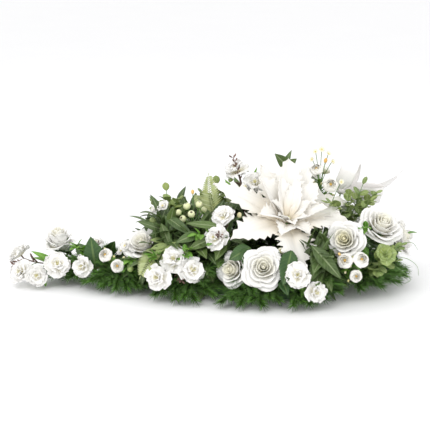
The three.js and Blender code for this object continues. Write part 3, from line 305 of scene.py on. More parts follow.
# More stems of the same bunches: share of the main stem where they fork, and their tips
LEAF_FORKS = {
    "left": [(0.15, (-184, -46, 74)), (0.2, (-150, -70, 72)), (0.2, (-150, 4, 92)),
             (0.4, (-70, -58, 120)), (0.3, (-136, -66, 104)), (0.5, (-124, -20, 158))],
    "middle": [(0.15, (-72, -92, 76)), (0.25, (-24, -96, 104)), (0.25, (24, -88, 104)),
               (0.45, (-28, -66, 140)), (0.4, (26, -78, 130)), (0.4, (-8, -20, 150))],
    "front_right": [(0.15, (146, -124, 72)), (0.2, (196, -132, 78)), (0.2, (238, -124, 82)),
                    (0.4, (180, -104, 112)), (0.35, (124, -108, 84)), (0.5, (236, -84, 110))],
    "back_left": [(0.15, (-164, 64, 70)), (0.2, (-112, 100, 66)), (0.2, (-52, 104, 72)),
                  (0.5, (-44, 60, 146)), (0.4, (-150, 46, 118)), (0.5, (-88, 74, 150))],
    "back": [(0.15, (10, 112, 66)), (0.2, (76, 132, 62)), (0.2, (140, 124, 66)),
             (0.5, (90, 96, 146)), (0.4, (12, 88, 134)), (0.5, (140, 100, 140))],
    "top": [(0.4, (96, 64, 186)), (0.5, (176, 74, 196)), (0.4, (206, 60, 160)),
            (0.3, (60, 40, 150)), (0.3, (252, 70, 150)), (0.3, (196, 10, 128))],
}
# Ferns: root, neck, then each frond as heading, upper side, length and width
FERNS = {
    "front": ((-100, -24, 20), (-118, -74, 102), [
        ((-0.55, -0.75, -0.25), (-0.25, -0.6, 0.75), 80, 58)]),
    "middle": ((-6, -4, 20), (-8, 4, 150), [
        ((-0.25, 0.2, 0.95), (-0.3, -0.9, 0.2), 92, 48),
        ((-0.7, 0.6, 0.7), (0, -0.8, 0.5), 80, 40)]),
    "back": ((166, 88, 20), (166, 118, 78), [
        ((-0.1, 0.9, 0.05), (0, 0, 1), 92, 50), ((0.5, 0.6, 0.75), (0, 0.5, 0.8), 80, 44)]),
}
LEAFLET = 24  # length of a leaflet as it is modelled
FROND_PAIRS = 17
FROND_DROOP = 0.7
# Pine picks: root, neck, the tips of the long twigs, and the tips of those that rise between the
# flowers from the neck, or from a start of their own
PINES = {
    "tip": ((-236, 0, 20), (-272, 0, 26),
            [(-322, -36, 22), (-392, -6, 18), (-372, 48, 18), (-322, 70, 20)],
            [(-300, -34, 48), (-234, 38, 62), (-206, 50, 48), (-246, 18, 74), (-214, 64, 18)]),
    "front_left": ((-194, -10, 22), (-204, -40, 30),
                   [(-284, -60, 22), (-244, -84, 20), (-192, -96, 18), (-152, -88, 26)],
                   [(-262, -66, 42), (-178, -84, 48), (-214, -98, 20), (-168, -98, 24)]),
    "front_middle": ((-92, -30, 22), (-82, -74, 30),
                     [(-130, -130, 18), (-88, -148, 16), (-48, -154, 16), (-10, -148, 24)],
                     [(-14, -132, 66), (-30, -138, 50), (4, -124, 82)]),
    "front": ((60, -62, 22), (62, -106, 30),
              [(6, -168, 16), (46, -180, 16), (90, -186, 16), (126, -172, 20)],
              [(150, -164, 44), (70, -176, 40)]),
    "front_right": ((172, -78, 22), (178, -122, 30),
                    [(152, -188, 16), (184, -182, 18), (218, -160, 20), (250, -134, 26)],
                    [(222, -158, 60), (250, -146, 50), (200, -160, 40)]),
    "right": ((240, -54, 22), (284, -60, 32),
              [(296, -118, 26), (342, -100, 26), (380, -76, 28), (398, -44, 30)],
              [(330, -120, 50), (376, -92, 52)]),
    "end": ((246, 46, 22), (312, 34, 30),
            [(406, -6, 22), (412, 30, 20), (394, 74, 20), (354, 106, 20)],
            [(384, 2, 50), (376, 60, 50), (336, 104, 52)]),
    "back_right": ((216, 76, 22), (236, 128, 30),
                   [(308, 164, 18), (262, 198, 16), (218, 204, 16), (176, 186, 22)],
                   [(184, 172, 46), (246, 180, 52), (300, 134, 54), (204, 140, 76)]),
    "back": ((80, 66, 22), (78, 116, 30),
             [(130, 192, 16), (80, 196, 16), (34, 184, 16), (-8, 160, 20)],
             [(-12, 134, 50), (58, 174, 52), (112, 176, 46), (24, 150, 60)]),
    "back_left": ((-94, 32, 22), (-104, 78, 30),
                  [(-60, 146, 16), (-110, 152, 16), (-160, 132, 16), (-206, 108, 18)],
                  [(-198, 36, 70), (-182, 82, 54), (-132, 128, 50), (-70, 130, 54), (-214, 62, 46),
                   ((-150, 40, 40), (-232, 24, 62)), (-232, 78, 16)]),
}
TWIG_LOW = 12  # side twigs of the pine end no lower than this
# The bow: the root of its wire, its knot, and each strip of ribbon as its name, the way across it
# and the points that it runs through, from the knot
BOW = {
    "root": (232, 22, 20), "knot": (272, 82, 184), "knot_radius": 9,
    "strips": [
        ("loop_high", (0.92, 0.1, -0.35), [
            (-3, -4, 0), (6, -10, 26), (16, -8, 52), (24, 8, 64), (28, 24, 50), (22, 22, 24), (2, 6, 2)]),
        ("loop_low", (0.18, -0.15, 0.97), [
            (2, -4, -2), (40, -8, -8), (80, 2, -12), (94, 20, -12), (70, 34, -8), (30, 22, -4),
            (0, 6, -3)]),
        ("tail", (0.25, -0.65, 0.7), [
            (0, 3, 0), (44, 48, -8), (84, 58, -10), (114, 58, 4), (134, 56, 22)]),
    ],
}

# Lamps in metres and watts: name, place, size and power
LAMPS = [("key", (-0.9, -1.5, 1.7), 0.9, 16), ("fill", (1.4, -1.9, 0.9), 1.6, 8),
         ("back", (0.4, 1.8, 1.9), 1.4, 4)]
# The camera stands at the photograph's height and distance
CAMERA = {"target": (-6.5, 0, 152), "distance": 2400, "rise": math.radians(16), "lens": 93.5,
          "sensor": 36, "reach": 50}
FLOOR_SIZE = 60
DAYLIGHT = 1.04


class ArrangementSizes(bpy.types.PropertyGroup):
    petal_thickness: FloatProperty(
        name="Petal thickness", description="Thickness of a fabric petal",
        default=0.5 * MM, min=0.2 * MM, max=2 * MM, unit="LENGTH")
    leaf_thickness: FloatProperty(
        name="Leaf thickness", description="Thickness of a leaf",
        default=0.6 * MM, min=0.2 * MM, max=2 * MM, unit="LENGTH")
    needle_length: FloatProperty(
        name="Needle length", description="Length of a pine needle",
        default=23 * MM, min=10 * MM, max=40 * MM, unit="LENGTH")
    needle_step: FloatProperty(
        name="Needle step", description="Length of twig for each needle",
        default=0.56 * MM, min=0.2 * MM, max=2 * MM, unit="LENGTH")
    ribbon_width: FloatProperty(
        name="Ribbon width", description="Width of the satin ribbon",
        default=38 * MM, min=10 * MM, max=60 * MM, unit="LENGTH")


class ArrangementColours(bpy.types.PropertyGroup):
    rose: FloatVectorProperty(
        name="Rose", description="Rose petals", subtype="COLOR", size=3,
        default=(0.92, 0.91, 0.885), min=0, max=1)
    heart: FloatVectorProperty(
        name="Heart", description="The inner petals of a rose", subtype="COLOR", size=3,
        default=(0.89, 0.85, 0.6), min=0, max=1)
    velvet: FloatVectorProperty(
        name="Velvet", description="Poinsettia bracts", subtype="COLOR", size=3,
        default=(0.87, 0.848, 0.8), min=0, max=1)
    leaf: FloatVectorProperty(
        name="Leaf", description="Long leaves", subtype="COLOR", size=3,
        default=(0.026, 0.056, 0.012), min=0, max=1)
    pine: FloatVectorProperty(
        name="Pine", description="Pine needles", subtype="COLOR", size=3,
        default=(0.042, 0.098, 0.014), min=0, max=1)


# Places and directions

def unit(v):
    v = np.asarray(v, float)
    return v / max(np.linalg.norm(v), TINY)


def mixed(a, b, t):
    return np.asarray(a, float) * (1 - t) + np.asarray(b, float) * t


def straight(a, b, steps, last=1.0):
    """Points on a straight line from a to b, or only a share of the way."""
    return [mixed(a, b, t) for t in np.linspace(0, last, steps)]


def matrix_of(x, y, z, origin):
    made = np.identity(4)
    made[:3, 0], made[:3, 1], made[:3, 2], made[:3, 3] = x, y, z, origin
    return made


def square_to_both(a, b, other=ACROSS):
    """The direction square to a and b, or another one where they are nearly parallel."""
    side = np.cross(a, b)
    return unit(side if np.linalg.norm(side) > LEVEL else other)


def facing(point, direction, turn=0.0):
    """Puts local +Z along the way a flower faces."""
    z = unit(direction)
    x = square_to_both(UP, z)
    return matrix_of(x, np.cross(z, x), z, point) @ turned("Z", turn)


def placed(point, direction, up=UP):
    """Puts local +Y along a direction and local +Z as near as it goes to up."""
    y = unit(direction)
    x = square_to_both(y, up, np.cross(y, (0.3, 1, 0.2)))
    return matrix_of(x, y, np.cross(x, y), point)


def turned(axis, angle):
    c, s = math.cos(angle), math.sin(angle)
    a, b = {"X": (1, 2), "Y": (2, 0), "Z": (0, 1)}[axis]
    made = np.identity(4)
    made[a, a], made[a, b], made[b, a], made[b, b] = c, -s, s, c
    return made


def moved(x, y, z):
    made = np.identity(4)
    made[:3, 3] = x, y, z
    return made


def stretched(x, y, z):
    return np.diag([x, y, z, 1.0])


def scaled(size):
    return stretched(size, size, size)


def spot_of(matrix, x=0.0, y=0.0, z=0.0):
    """Where a point of a piece's own frame is."""
    return (matrix @ moved(x, y, z))[:3, 3]


def about(axis, angle):
    """Turns a vector about an axis."""
    k = unit(axis)
    c, s = math.cos(angle), math.sin(angle)
    return lambda v: v * c + np.cross(k, v) * s + k * np.dot(k, v) * (1 - c)


def side_of(way):
    return square_to_both(way, UP)


def beside(way, turn):
    """A direction square to a stem, at a turn round it."""
    return about(way, turn)(side_of(way))


def square_to(side, way):
    return unit(side - way * np.dot(side, way))


def leaning(way, side, lean):
    return way * math.cos(lean) + side * math.sin(lean)


def arc(a, knee, b, steps):
    """Points on a curve from a to b that is pulled towards a knee."""
    t = np.linspace(0, 1, steps)[:, None]
    return (1 - t) ** 2 * np.asarray(a) + 2 * t * (1 - t) * np.asarray(knee) + t ** 2 * np.asarray(b)


def bowed(a, b, rise, steps, share=0.5):
    """Points on a curve from a to b that rises on its way."""
    return arc(a, mixed(a, b, share) + UP * rise, b, steps)


def through(points, steps):
    """Points on a smooth curve through all the given ones."""
    p = np.array(points, float)
    p = np.vstack([2 * p[0] - p[1], p, 2 * p[-1] - p[-2]])
    made = []
    for s in np.linspace(0, len(points) - 1, steps):
        i = min(int(s), len(points) - 2)
        t = s - i
        a, b, c, d = p[i:i + 4]
        made.append(0.5 * (2 * b + (c - a) * t + (2 * a - 5 * b + 4 * c - d) * t ** 2
                           + (3 * b - a - 3 * c + d) * t ** 3))
    return np.array(made)


def between(where, stations, points):
    """The point or direction between the given ones."""
    return np.array([np.interp(where, stations, points[:, axis]) for axis in range(3)])


# Models and the pieces made of them

# A modelled petal, leaf, needle or berry, kept to be copied into place
Shape = namedtuple("Shape", "points corners starts uvs")


def take_shape(obj, thickness=0.0):
    """Gives a model its wall, keeps its mesh as a shape and deletes the model."""
    if thickness:
        wall = obj.modifiers.new("wall", "SOLIDIFY")
        wall.thickness, wall.offset = thickness, 0
        bpy.ops.object.modifier_apply(modifier=wall.name)
    mesh = obj.data
    points = np.empty(len(mesh.vertices) * 3)
    corners = np.empty(len(mesh.loops), np.int32)
    starts = np.empty(len(mesh.polygons), np.int32)
    uvs = np.zeros(len(mesh.loops) * 2)
    mesh.vertices.foreach_get("co", points)
    mesh.loops.foreach_get("vertex_index", corners)
    mesh.polygons.foreach_get("loop_start", starts)
    if mesh.uv_layers:
        mesh.uv_layers[0].data.foreach_get("uv", uvs)
    bpy.data.objects.remove(obj)
    bpy.data.meshes.remove(mesh)
    return Shape(points.reshape(-1, 3), corners, starts, uvs.reshape(-1, 2))


def model(primitive, **settings):
    """Adds a primitive that nothing else is selected with."""
    bpy.ops.object.select_all(action="DESELECT")
    primitive(**settings)
    return bpy.context.object


def model_sheet(across, along, place, thickness):
    """A thin closed blade: a grid whose points go where place(u, v) says, with u from -1 to 1
    across and v from 0 to 1 along."""
    obj = model(bpy.ops.mesh.primitive_grid_add, x_subdivisions=across, y_subdivisions=along, size=2)
    for point in obj.data.vertices:
        point.co = place(point.co.x, (point.co.y + 1) / 2)
    return take_shape(obj, thickness)


def ball(segments=8, rings=6, place=None):
    """A ball of radius 1, or one whose points go where place(x, y, z) says."""
    obj = model(bpy.ops.mesh.primitive_uv_sphere_add, segments=segments, ring_count=rings, radius=1)
    if place:
        for point in obj.data.vertices:
            point.co = place(*point.co)
    return take_shape(obj)


class Piece:
    """Copies of shapes that are gathered into one mesh."""

    def __init__(self):
        self.parts = []

    def add(self, shape, matrix, tone=0.5, finish=0, bend=0.0):
        """Adds a copy. bend is how far it curls down along its length, per millimetre."""
        points = shape.points
        if abs(bend) > FLAT:
            x, y, z = points.T
            reach = 1 / bend + z
            points = np.stack([x, reach * np.sin(bend * y), reach * np.cos(bend * y) - 1 / bend], 1)
        points = points @ matrix[:3, :3].T + matrix[:3, 3]
        self.parts.append((points, shape.corners, shape.starts, shape.uvs, tone, finish))

    def add_tube(self, points, radii, sides=6, tone=0.5, finish=0):
        """Adds a round stem through points, with its ends closed."""
        points = np.asarray(points, float)
        count = len(points)
        angles = np.arange(sides) * TURN / sides
        ways = np.gradient(points, axis=0)
        side = side_of(unit(ways[0]))
        spots, rings = [], []
        for i, point in enumerate(points):
            way = unit(ways[i])
            side = square_to(side, way)
            circle = np.outer(np.cos(angles), side) + np.outer(np.sin(angles), np.cross(way, side))
            rings.append(point + radii[i] * circle)
            spots.append(i / (count - 1))
        corners, starts, uvs = [], [], []
        for i in range(count - 1):
            for k in range(sides):
                low, high, after = i * sides, (i + 1) * sides, (k + 1) % sides
                starts.append(len(corners))
                corners += [low + k, low + after, high + after, high + k]
                uvs += [(k / sides, spots[i]), ((k + 1) / sides, spots[i]),
                        ((k + 1) / sides, spots[i + 1]), (k / sides, spots[i + 1])]
        for ring, order in ((0, range(sides - 1, -1, -1)), (count - 1, range(sides))):
            starts.append(len(corners))
            corners += [ring * sides + k for k in order]
            uvs += [(0.5, spots[ring])] * sides
        self.parts.append((np.vstack(rings), np.array(corners, np.int32), np.array(starts, np.int32),
                           np.array(uvs), tone, finish))

    def make(self, name, finishes, slot, nodes=()):
        """Makes the mesh, in metres, and sets it in place of the nodes that it stands for."""
        points, corners, starts, uvs, tones, numbers = zip(*self.parts)
        counts, loops, faces = ([len(part) for part in parts] for parts in (points, corners, starts))
        firsts, loop_firsts = np.cumsum([0] + counts[:-1]), np.cumsum([0] + loops[:-1])
        points = np.vstack(points) * MM
        points[:, 2] = np.maximum(points[:, 2], TABLE * MM)
        corners = np.concatenate([part + first for part, first in zip(corners, firsts)])
        starts = np.concatenate([part + first for part, first in zip(starts, loop_firsts)])
        mesh = bpy.data.meshes.new(name)
        mesh.vertices.add(len(points))
        mesh.vertices.foreach_set("co", points.ravel())
        mesh.loops.add(len(corners))
        mesh.loops.foreach_set("vertex_index", corners.astype(np.int32))
        mesh.polygons.add(len(starts))
        mesh.polygons.foreach_set("loop_start", starts.astype(np.int32))
        mesh.uv_layers.new(name="UVMap").data.foreach_set("uv", np.vstack(uvs).ravel())
        tone = mesh.attributes.new("tone", "FLOAT", "POINT")
        tone.data.foreach_set("value", np.repeat(tones, counts))
        for finish in finishes:
            mesh.materials.append(finish)
        mesh.polygons.foreach_set("material_index", np.repeat(numbers, faces))
        mesh.polygons.foreach_set("use_smooth", np.ones(len(starts), bool))
        mesh.update(calc_edges=True)
        mesh.validate()
        obj = bpy.data.objects.new(name, mesh)
        bpy.context.scene.collection.objects.link(obj)
        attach(obj, "root")
        if nodes:
            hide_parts(*nodes)
        return obj


# Shapes

def smooth(t):
    """Eases from 0 to 1."""
    t = min(max(t, 0.0), 1.0)
    return t * t * (3 - 2 * t)


def swell(v, full):
    """Rises quickly from 0, and is 1 from a share of the height on."""
    return math.sin(min(v / full, 1) * math.pi / 2)


def past(v, start):
    """Is 0 up to a start, and from there goes to 1 at the end."""
    return max(0.0, v - start) / (1 - start)


def crease(u, width):
    """Is 1 on the middle line and falls off to both sides."""
    return math.exp(-(u / width) ** 2)


def along_profile(profile, v, column=1):
    """The value of a profile of stations at a share of the length."""
    return float(np.interp(v, [s[0] for s in profile], [s[column] for s in profile]))


def drooping(length, droop, share):
    """How far forwards and how far up a drooping blade has come, at a share of its length."""
    radius = length / droop
    return radius * math.sin(droop * share), radius * (math.cos(droop * share) - 1)


def rose_petal(ring, wave, thickness):
    """A petal of one ring, for a bloom of radius 1, in the direction +X."""
    count, reach, foot, lip, roll = ring
    half = 0.66 * TURN / count

    def place(u, v):
        curl = past(v, ROLLS_FROM) ** 2
        spread = u * half * (0.46 + 0.54 * swell(v, ROLLS_FROM))
        radius = reach * (0.3 + 0.7 * swell(v, 1) ** 0.75) * (1 + 0.07 * u - 0.1 * u * u * v)
        radius += roll * curl * (1.15 - 0.55 * abs(u)) + 0.045 * reach * math.sin(3.4 * u + wave) * v * v
        height = foot + (lip - foot) * v ** 1.1 * (1 - 0.3 * u * u * v)
        height -= 0.62 * roll * curl * (1 - 0.35 * crease(u, 0.2))
        height += 0.05 * reach * math.sin(4.1 * u + 2 * wave) * v ** 3
        return radius * math.cos(spread), radius * math.sin(spread), height

    return model_sheet(10, 9, place, thickness)


def cup_petal(ring, wave, thickness):
    """A round petal that closes in over the heart of a small rose."""
    count, reach, foot, lip = ring
    half = 0.64 * TURN / count

    def place(u, v):
        spread = u * half * (0.5 + 0.5 * swell(v, 0.5)) * (1 - 0.25 * v ** 4)
        radius = reach * (0.25 + 0.75 * swell(v, 0.7)) * (1 + 0.06 * u)
        radius *= 1 - 0.3 * past(v, ROLLS_FROM) ** 1.6
        height = foot + (lip - foot) * v * (1 - 0.16 * abs(u) ** 3)
        height += 0.04 * math.sin(4 * u + wave) * v ** 3
        return radius * math.cos(spread), radius * math.sin(spread), height

    return model_sheet(8, 8, place, thickness)


def jagged(roll, first, last, count, depth):
    """Stations of coarse uneven teeth along one edge: how far out, and how far forwards they lean."""
    stations = [(0.0, 1.0, 0.0), (first - 0.03, 1.0, 0.0)]
    step = (last - first) / count
    for k in range(count):
        at = first + step * (k + roll.uniform(-0.14, 0.14))
        tall = depth * roll.uniform(0.6, 1.3)
        stations += [(at, 1 - 0.6 * tall, 0.0), (at + 0.55 * step, 1 + 0.8 * tall, 0.6 * tall)]
    return stations + [(last + 0.01, 1 - 0.4 * depth, 0.0), (1.0, 1.0, 0.0)]


def bract(size, roll, profile, rows, wave, fold, curl, teeth):
    """A velvet bract that runs along +Y and droops, with a rib, soft folds and a jagged edge."""
    phases = [roll.uniform(0, TURN) for _ in range(4)]
    sides = [roll.uniform(0.9, 1.1) for _ in range(2)]
    edges = [jagged(roll, *teeth) for _ in range(2)]
    drawn = roll.uniform(-7, 7)

    def place(u, v):
        right = u > 0
        rim = past(abs(u), 0.7)
        share = along_profile(profile, v) * sides[right]
        out = abs(u) * size.width / 2 * share * (1 + (along_profile(edges[right], v) - 1) * rim)
        y, z = drooping(size.length, size.droop, v)
        y += out * along_profile(edges[right], v, 2) * rim
        z += out * fold + curl * (out / 10) ** 2 * math.sin(v * math.pi)
        z += wave * u * u * math.sin(6.5 * v + phases[0] + (1.7 if right else 0)) * v
        z += 1.6 * math.sin(6 * u + phases[1]) * math.sin(v * math.pi) ** 2
        z -= 1.4 * crease(u, 0.07) * (1 - v)
        return math.copysign(out, u) + drawn * v ** 2.2, y, z

    return model_sheet(20, rows, place, BRACT_THICKNESS)


def leaf(length, width, profile, fold, droop, thickness, rows=8, across=4, teeth=0, cup=0.0):
    """A leaf that runs along +Y, folded on its rib and drooping, with a saw edge if asked for."""
    def place(u, v):
        notch = 0.91 if teeth and round(v * rows) % 2 else 1
        half = width / 2 * along_profile(profile, v) * notch
        y, z = drooping(length, droop, v)
        out = abs(u) * half
        return u * half, y, z + out * fold - cup * out ** 2 / width

    return model_sheet(across, rows, place, thickness)


def ruffled_petal(seed):
    """A thin petal of a blossom of half width 1 that lies out along +X with a frilled edge."""
    roll = random.Random(seed)
    a, b, c = (roll.uniform(0, TURN) for _ in range(3))

    def place(u, v):
        rim = 1 - 0.24 * u * u + 0.02 * math.sin(8 * u + a) - 0.06 * crease(u, 0.16)
        x = 0.06 + 0.94 * v * (1 + (rim - 1) * v * v)
        z = 0.36 * v ** 1.2 - 0.3 * max(0.0, v - ROLLS_FROM) + 0.16 * u * u * v
        z += v ** 2 * (0.1 * math.sin(4.2 * u + b) + 0.06 * math.sin(9 * u + c))
        return x, 0.68 * u * along_profile(FRILLED, v), z

    return model_sheet(12, 7, place, 0.02)


# Finishes

class Nodes:
    """A material's node tree, with a short way to add and join nodes."""

    def __init__(self, name):
        self.material = bpy.data.materials.new(name)
        self.material.use_nodes = True
        self.tree = self.material.node_tree
        self.tree.nodes.clear()
        self.output = self.tree.nodes.new("ShaderNodeOutputMaterial")
        self.shader = self.tree.nodes.new("ShaderNodeBsdfPrincipled")
        self.tree.links.new(self.shader.outputs[0], self.output.inputs[0])

    def add(self, kind, inputs=None, **settings):
        """Adds a node, with its inputs by number or name and its other settings."""
        node = self.tree.nodes.new(kind)
        for name, value in settings.items():
            setattr(node, name, value)
        for key, value in (inputs or {}).items():
            self.put(node.inputs[key], value)
        return node

    def put(self, socket, value):
        """Joins a socket to a node or to another socket, or sets its value."""
        if isinstance(value, bpy.types.NodeSocket):
            self.tree.links.new(value, socket)
        elif isinstance(value, bpy.types.Node):
            self.tree.links.new(value.outputs[0], socket)
        else:
            socket.default_value = value

    def math(self, operation, *values):
        node = self.add("ShaderNodeMath", operation=operation)
        for i, value in enumerate(values):
            self.put(node.inputs[i], value)
        return node.outputs[0]

    def times(self, a, b):
        return self.math("MULTIPLY", a, b)

    def plus(self, a, b):
        return self.math("ADD", a, b)

    def off_middle(self, across):
        return self.math("ABSOLUTE", self.math("SUBTRACT", across, 0.5))

    def ramp(self, value, low, high, to_low=0.0, to_high=1.0):
        """Maps a range of values on another one, and keeps within it."""
        node = self.add("ShaderNodeMapRange", {0: value, 1: low, 2: high, 3: to_low, 4: to_high})
        return node.outputs[0]

    def mix(self, share, a, b):
        node = self.add("ShaderNodeMix", {0: share, 6: a, 7: b}, data_type="RGBA")
        return node.outputs[2]

    def noise(self, scale, detail, vector=None):
        where = vector or self.add("ShaderNodeTexCoord").outputs["Object"]
        return self.add("ShaderNodeTexNoise", {"Vector": where, "Scale": scale, "Detail": detail}).outputs[0]

    def tone(self):
        """The tone of each copy in a piece."""
        return self.add("ShaderNodeAttribute", attribute_name="tone").outputs["Fac"]

    def uv(self):
        """How far across and how far along a petal, leaf or ribbon."""
        parts = self.add("ShaderNodeSeparateXYZ", {0: self.add("ShaderNodeUVMap", uv_map="UVMap")})
        return parts.outputs[0], parts.outputs[1]

    def bump(self, height, distance, strength):
        node = self.add("ShaderNodeBump", {"Height": height, "Distance": distance, "Strength": strength})
        self.put(self.shader.inputs["Normal"], node)

    def finish(self, colour, roughness, **sockets):
        self.put(self.shader.inputs["Base Color"], colour)
        self.put(self.shader.inputs["Roughness"], roughness)
        for name, value in sockets.items():
            self.put(self.shader.inputs[name.replace("_", " ")], value)
        return self.material


def rgba(colour, gain=1.0):
    return tuple(min(c * gain, 1.0) for c in colour) + (1.0,)


def petal_finish(name, white, warm, reach, streaks, weave=900, blush=0.0):
    """Woven petal fabric that is warmer towards its foot, with faint lines along it."""
    n = Nodes(name)
    across, along = n.uv()
    lengthways = n.add("ShaderNodeCombineXYZ", {0: n.times(across, streaks), 1: along})
    lines = n.noise(3.0, 4.0, lengthways.outputs[0])
    foot = n.ramp(n.plus(along, n.times(lines, -0.25)), -0.1, reach, 1.0, 0.0)
    shade = n.mix(n.ramp(lines, 0.3, 0.75), rgba(white, 0.94), rgba(white, 1.04))
    inside = n.times(n.ramp(n.tone(), 0.35, 1.0), blush)
    colour = n.mix(n.math("MAXIMUM", foot, inside), shade, rgba(warm))
    threads = n.noise(weave, 2.0)
    n.bump(n.plus(n.times(lines, 1.4), n.times(threads, 0.5)), 0.0006, 0.7)
    return n.finish(colour, 0.68, Sheen_Weight=0.25, Sheen_Roughness=0.5, Specular_IOR_Level=0.3)


def leaf_finish(name, deep, pale, rib, roughness, veins, rib_width=0.07):
    """A printed leaf with a pale rib, side veins and a tone of its own for each copy."""
    n = Nodes(name)
    across, along = n.uv()
    out = n.times(n.off_middle(across), 2.0)
    ribbed = n.ramp(out, rib_width, rib_width * 2.2, 1.0, 0.0)
    slant = n.math("SUBTRACT", n.times(along, veins), n.times(out, 1.8))
    wave = n.math("SINE", n.times(slant, TURN))
    vein = n.ramp(wave, 0.82, 1.0)
    mottle = n.noise(90.0, 4.0)
    tone = n.tone()
    base = n.mix(tone, rgba(deep), rgba(pale))
    yellowed = n.ramp(n.math("FRACT", n.times(tone, 7.3)), 0.5, 1.0, 0.0, 0.55)
    base = n.mix(yellowed, base, rgba((pale[0] * 0.85, pale[1] * 0.8, pale[2] * 0.3)))
    base = n.mix(n.ramp(mottle, 0.35, 0.7, 0.0, 0.3), base, rgba(pale, 1.5))
    colour = n.mix(n.math("MAXIMUM", n.times(ribbed, 0.75), n.times(vein, 0.28)), base, rgba(rib))
    height = n.math("SUBTRACT", n.times(wave, 0.12), n.times(ribbed, 0.6))
    n.bump(n.plus(height, n.times(mottle, 0.5)), 0.0008, 0.6)
    return n.finish(colour, roughness, Specular_IOR_Level=0.45)


def plain_finish(name, colour, other, roughness, scale, depth=0.0003):
    """Moulded plastic or bark: two close colours in a grain, and a tone for each copy."""
    n = Nodes(name)
    grain = n.noise(scale, 5.0)
    patch = n.plus(n.times(grain, 0.6), n.times(n.tone(), 0.5))
    shade = n.mix(n.ramp(patch, 0.3, 0.8), rgba(colour), rgba(other))
    n.bump(grain, depth, 0.8)
    return n.finish(shade, roughness)


def needle_finish(name, deep, pale):
    """Cut plastic film: deep green with paler tips, and each needle a little different."""
    n = Nodes(name)
    along = n.uv()[1]
    tone = n.tone()
    colour = n.mix(n.math("POWER", tone, 1.6), rgba(deep), rgba(pale))
    colour = n.mix(n.ramp(along, 0.45, 1.0, 0.0, 0.45), colour, rgba(pale, 1.7))
    streak = n.noise(400.0, 2.0)
    n.bump(streak, 0.0002, 0.5)
    return n.finish(colour, 0.42, Specular_IOR_Level=0.45)


def berry_finish(name):
    """A pale berry with a dark dimple at its crown."""
    n = Nodes(name)
    along = n.uv()[1]
    mottle = n.noise(160.0, 3.0)
    skin = n.mix(n.ramp(mottle, 0.3, 0.75), (0.8, 0.8, 0.52, 1), (0.72, 0.78, 0.4, 1))
    foot = n.mix(n.ramp(along, 0.0, 0.35, 1.0, 0.0), skin, (0.5, 0.62, 0.2, 1))
    colour = n.mix(n.ramp(along, 0.86, 0.93), foot, (0.05, 0.025, 0.015, 1))
    n.bump(mottle, 0.0003, 0.4)
    return n.finish(colour, 0.32, Specular_IOR_Level=0.5, Coat_Weight=0.2, Coat_Roughness=0.3)


def satin_finish(name):
    """Woven satin: fine threads across the ribbon and a soft sheen along it."""
    n = Nodes(name)
    across, along = n.uv()
    threads = n.math("SINE", n.times(along, 2600.0))
    selvedge = n.ramp(n.off_middle(across), 0.46, 0.49)
    cloud = n.noise(30.0, 3.0)
    colour = n.mix(n.ramp(cloud, 0.3, 0.7), (0.84, 0.81, 0.79, 1), (0.92, 0.9, 0.88, 1))
    colour = n.mix(n.times(selvedge, 0.3), colour, (0.7, 0.68, 0.66, 1))
    n.bump(n.plus(n.times(threads, 0.2), selvedge), 0.0002, 0.5)
    return n.finish(colour, 0.34, Sheen_Weight=0.5, Sheen_Roughness=0.3, Anisotropic=0.5)


def settings():
    scene = bpy.context.scene
    return scene.arrangement_sizes, scene.arrangement_colours


def each_of(table, seed):
    """Each entry of a table by name, with chance of its own."""
    for i, (name, entry) in enumerate(table.items()):
        yield name, entry, random.Random(seed + i)


def made_once(name, make, *looks):
    """A finish that several pieces share is made the first time that one asks for it."""
    return bpy.data.materials.get(name) or make(name, *looks)


def twig_green():
    return made_once("green_wire", plain_finish, (0.1, 0.2, 0.05), (0.17, 0.3, 0.09), 0.5, 220)


def twig_brown():
    return made_once("brown_bark", plain_finish, (0.1, 0.055, 0.04), (0.26, 0.16, 0.125), 0.75, 500, 0.0006)


def rose_leaf_green():
    return made_once("rose_leaf_print", leaf_finish, (0.02, 0.06, 0.014), (0.045, 0.11, 0.02),
                     (0.13, 0.2, 0.06), 0.42, 9.0)


def fresh_green():
    return made_once("small_leaf_print", leaf_finish, (0.07, 0.2, 0.02), (0.17, 0.36, 0.045),
                     (0.32, 0.48, 0.14), 0.5, 6.0)


# Leaves and the flowers that they keep clear of

def bract_spot(base, size, radius, height):
    """Where a bract starts on the flower's hub, turned the way that it rises."""
    return (base @ turned("Z", size.turn - math.pi / 2) @ moved(0, radius * 0.9, height)
            @ turned("X", size.rise))


def blooms():
    """The middle and radius of every flower, which leaves keep clear of."""
    found = [(pos, face, radius) for pos, face, radius, _, _ in ROSES.values()]
    for _, _, heads in (*BLOSSOMS.values(), *MINI_ROSES.values(), BERRIES):
        found += [(pos, face, size / 2) for pos, face, size in heads]
    found.append((POINSETTIA["pos"], POINSETTIA["face"], POINSETTIA_CLEAR))
    base = facing(POINSETTIA["pos"], POINSETTIA["face"])
    for size in POINSETTIA["outer"]:
        for share in (0.4, 0.6, 0.8):
            spot = bract_spot(base, size, *BRACT_RINGS["outer"][:2])
            spot = spot_of(spot, 0, *drooping(size.length, size.droop, share))
            found.append((spot, UP, size.width * 0.28))
    middles = [np.asarray(pos, float) + unit(face) * radius * 0.25 for pos, face, radius in found]
    return np.array(middles), np.array([radius for _, _, radius in found])


BLOOM_MIDDLES, BLOOM_RADII = blooms()


def clear_of_blooms(foot, direction, length):
    """Says if a leaf that starts at foot misses every flower and the table."""
    points = foot + np.outer(LEAF_CHECKS, direction * length)
    gaps = np.linalg.norm(points[:, None, :] - BLOOM_MIDDLES[None], axis=2) - BLOOM_RADII[None] * BLOOM_SHARE
    return bool((gaps > 0).all()) and points[-1, 2] > LEAF_LOW


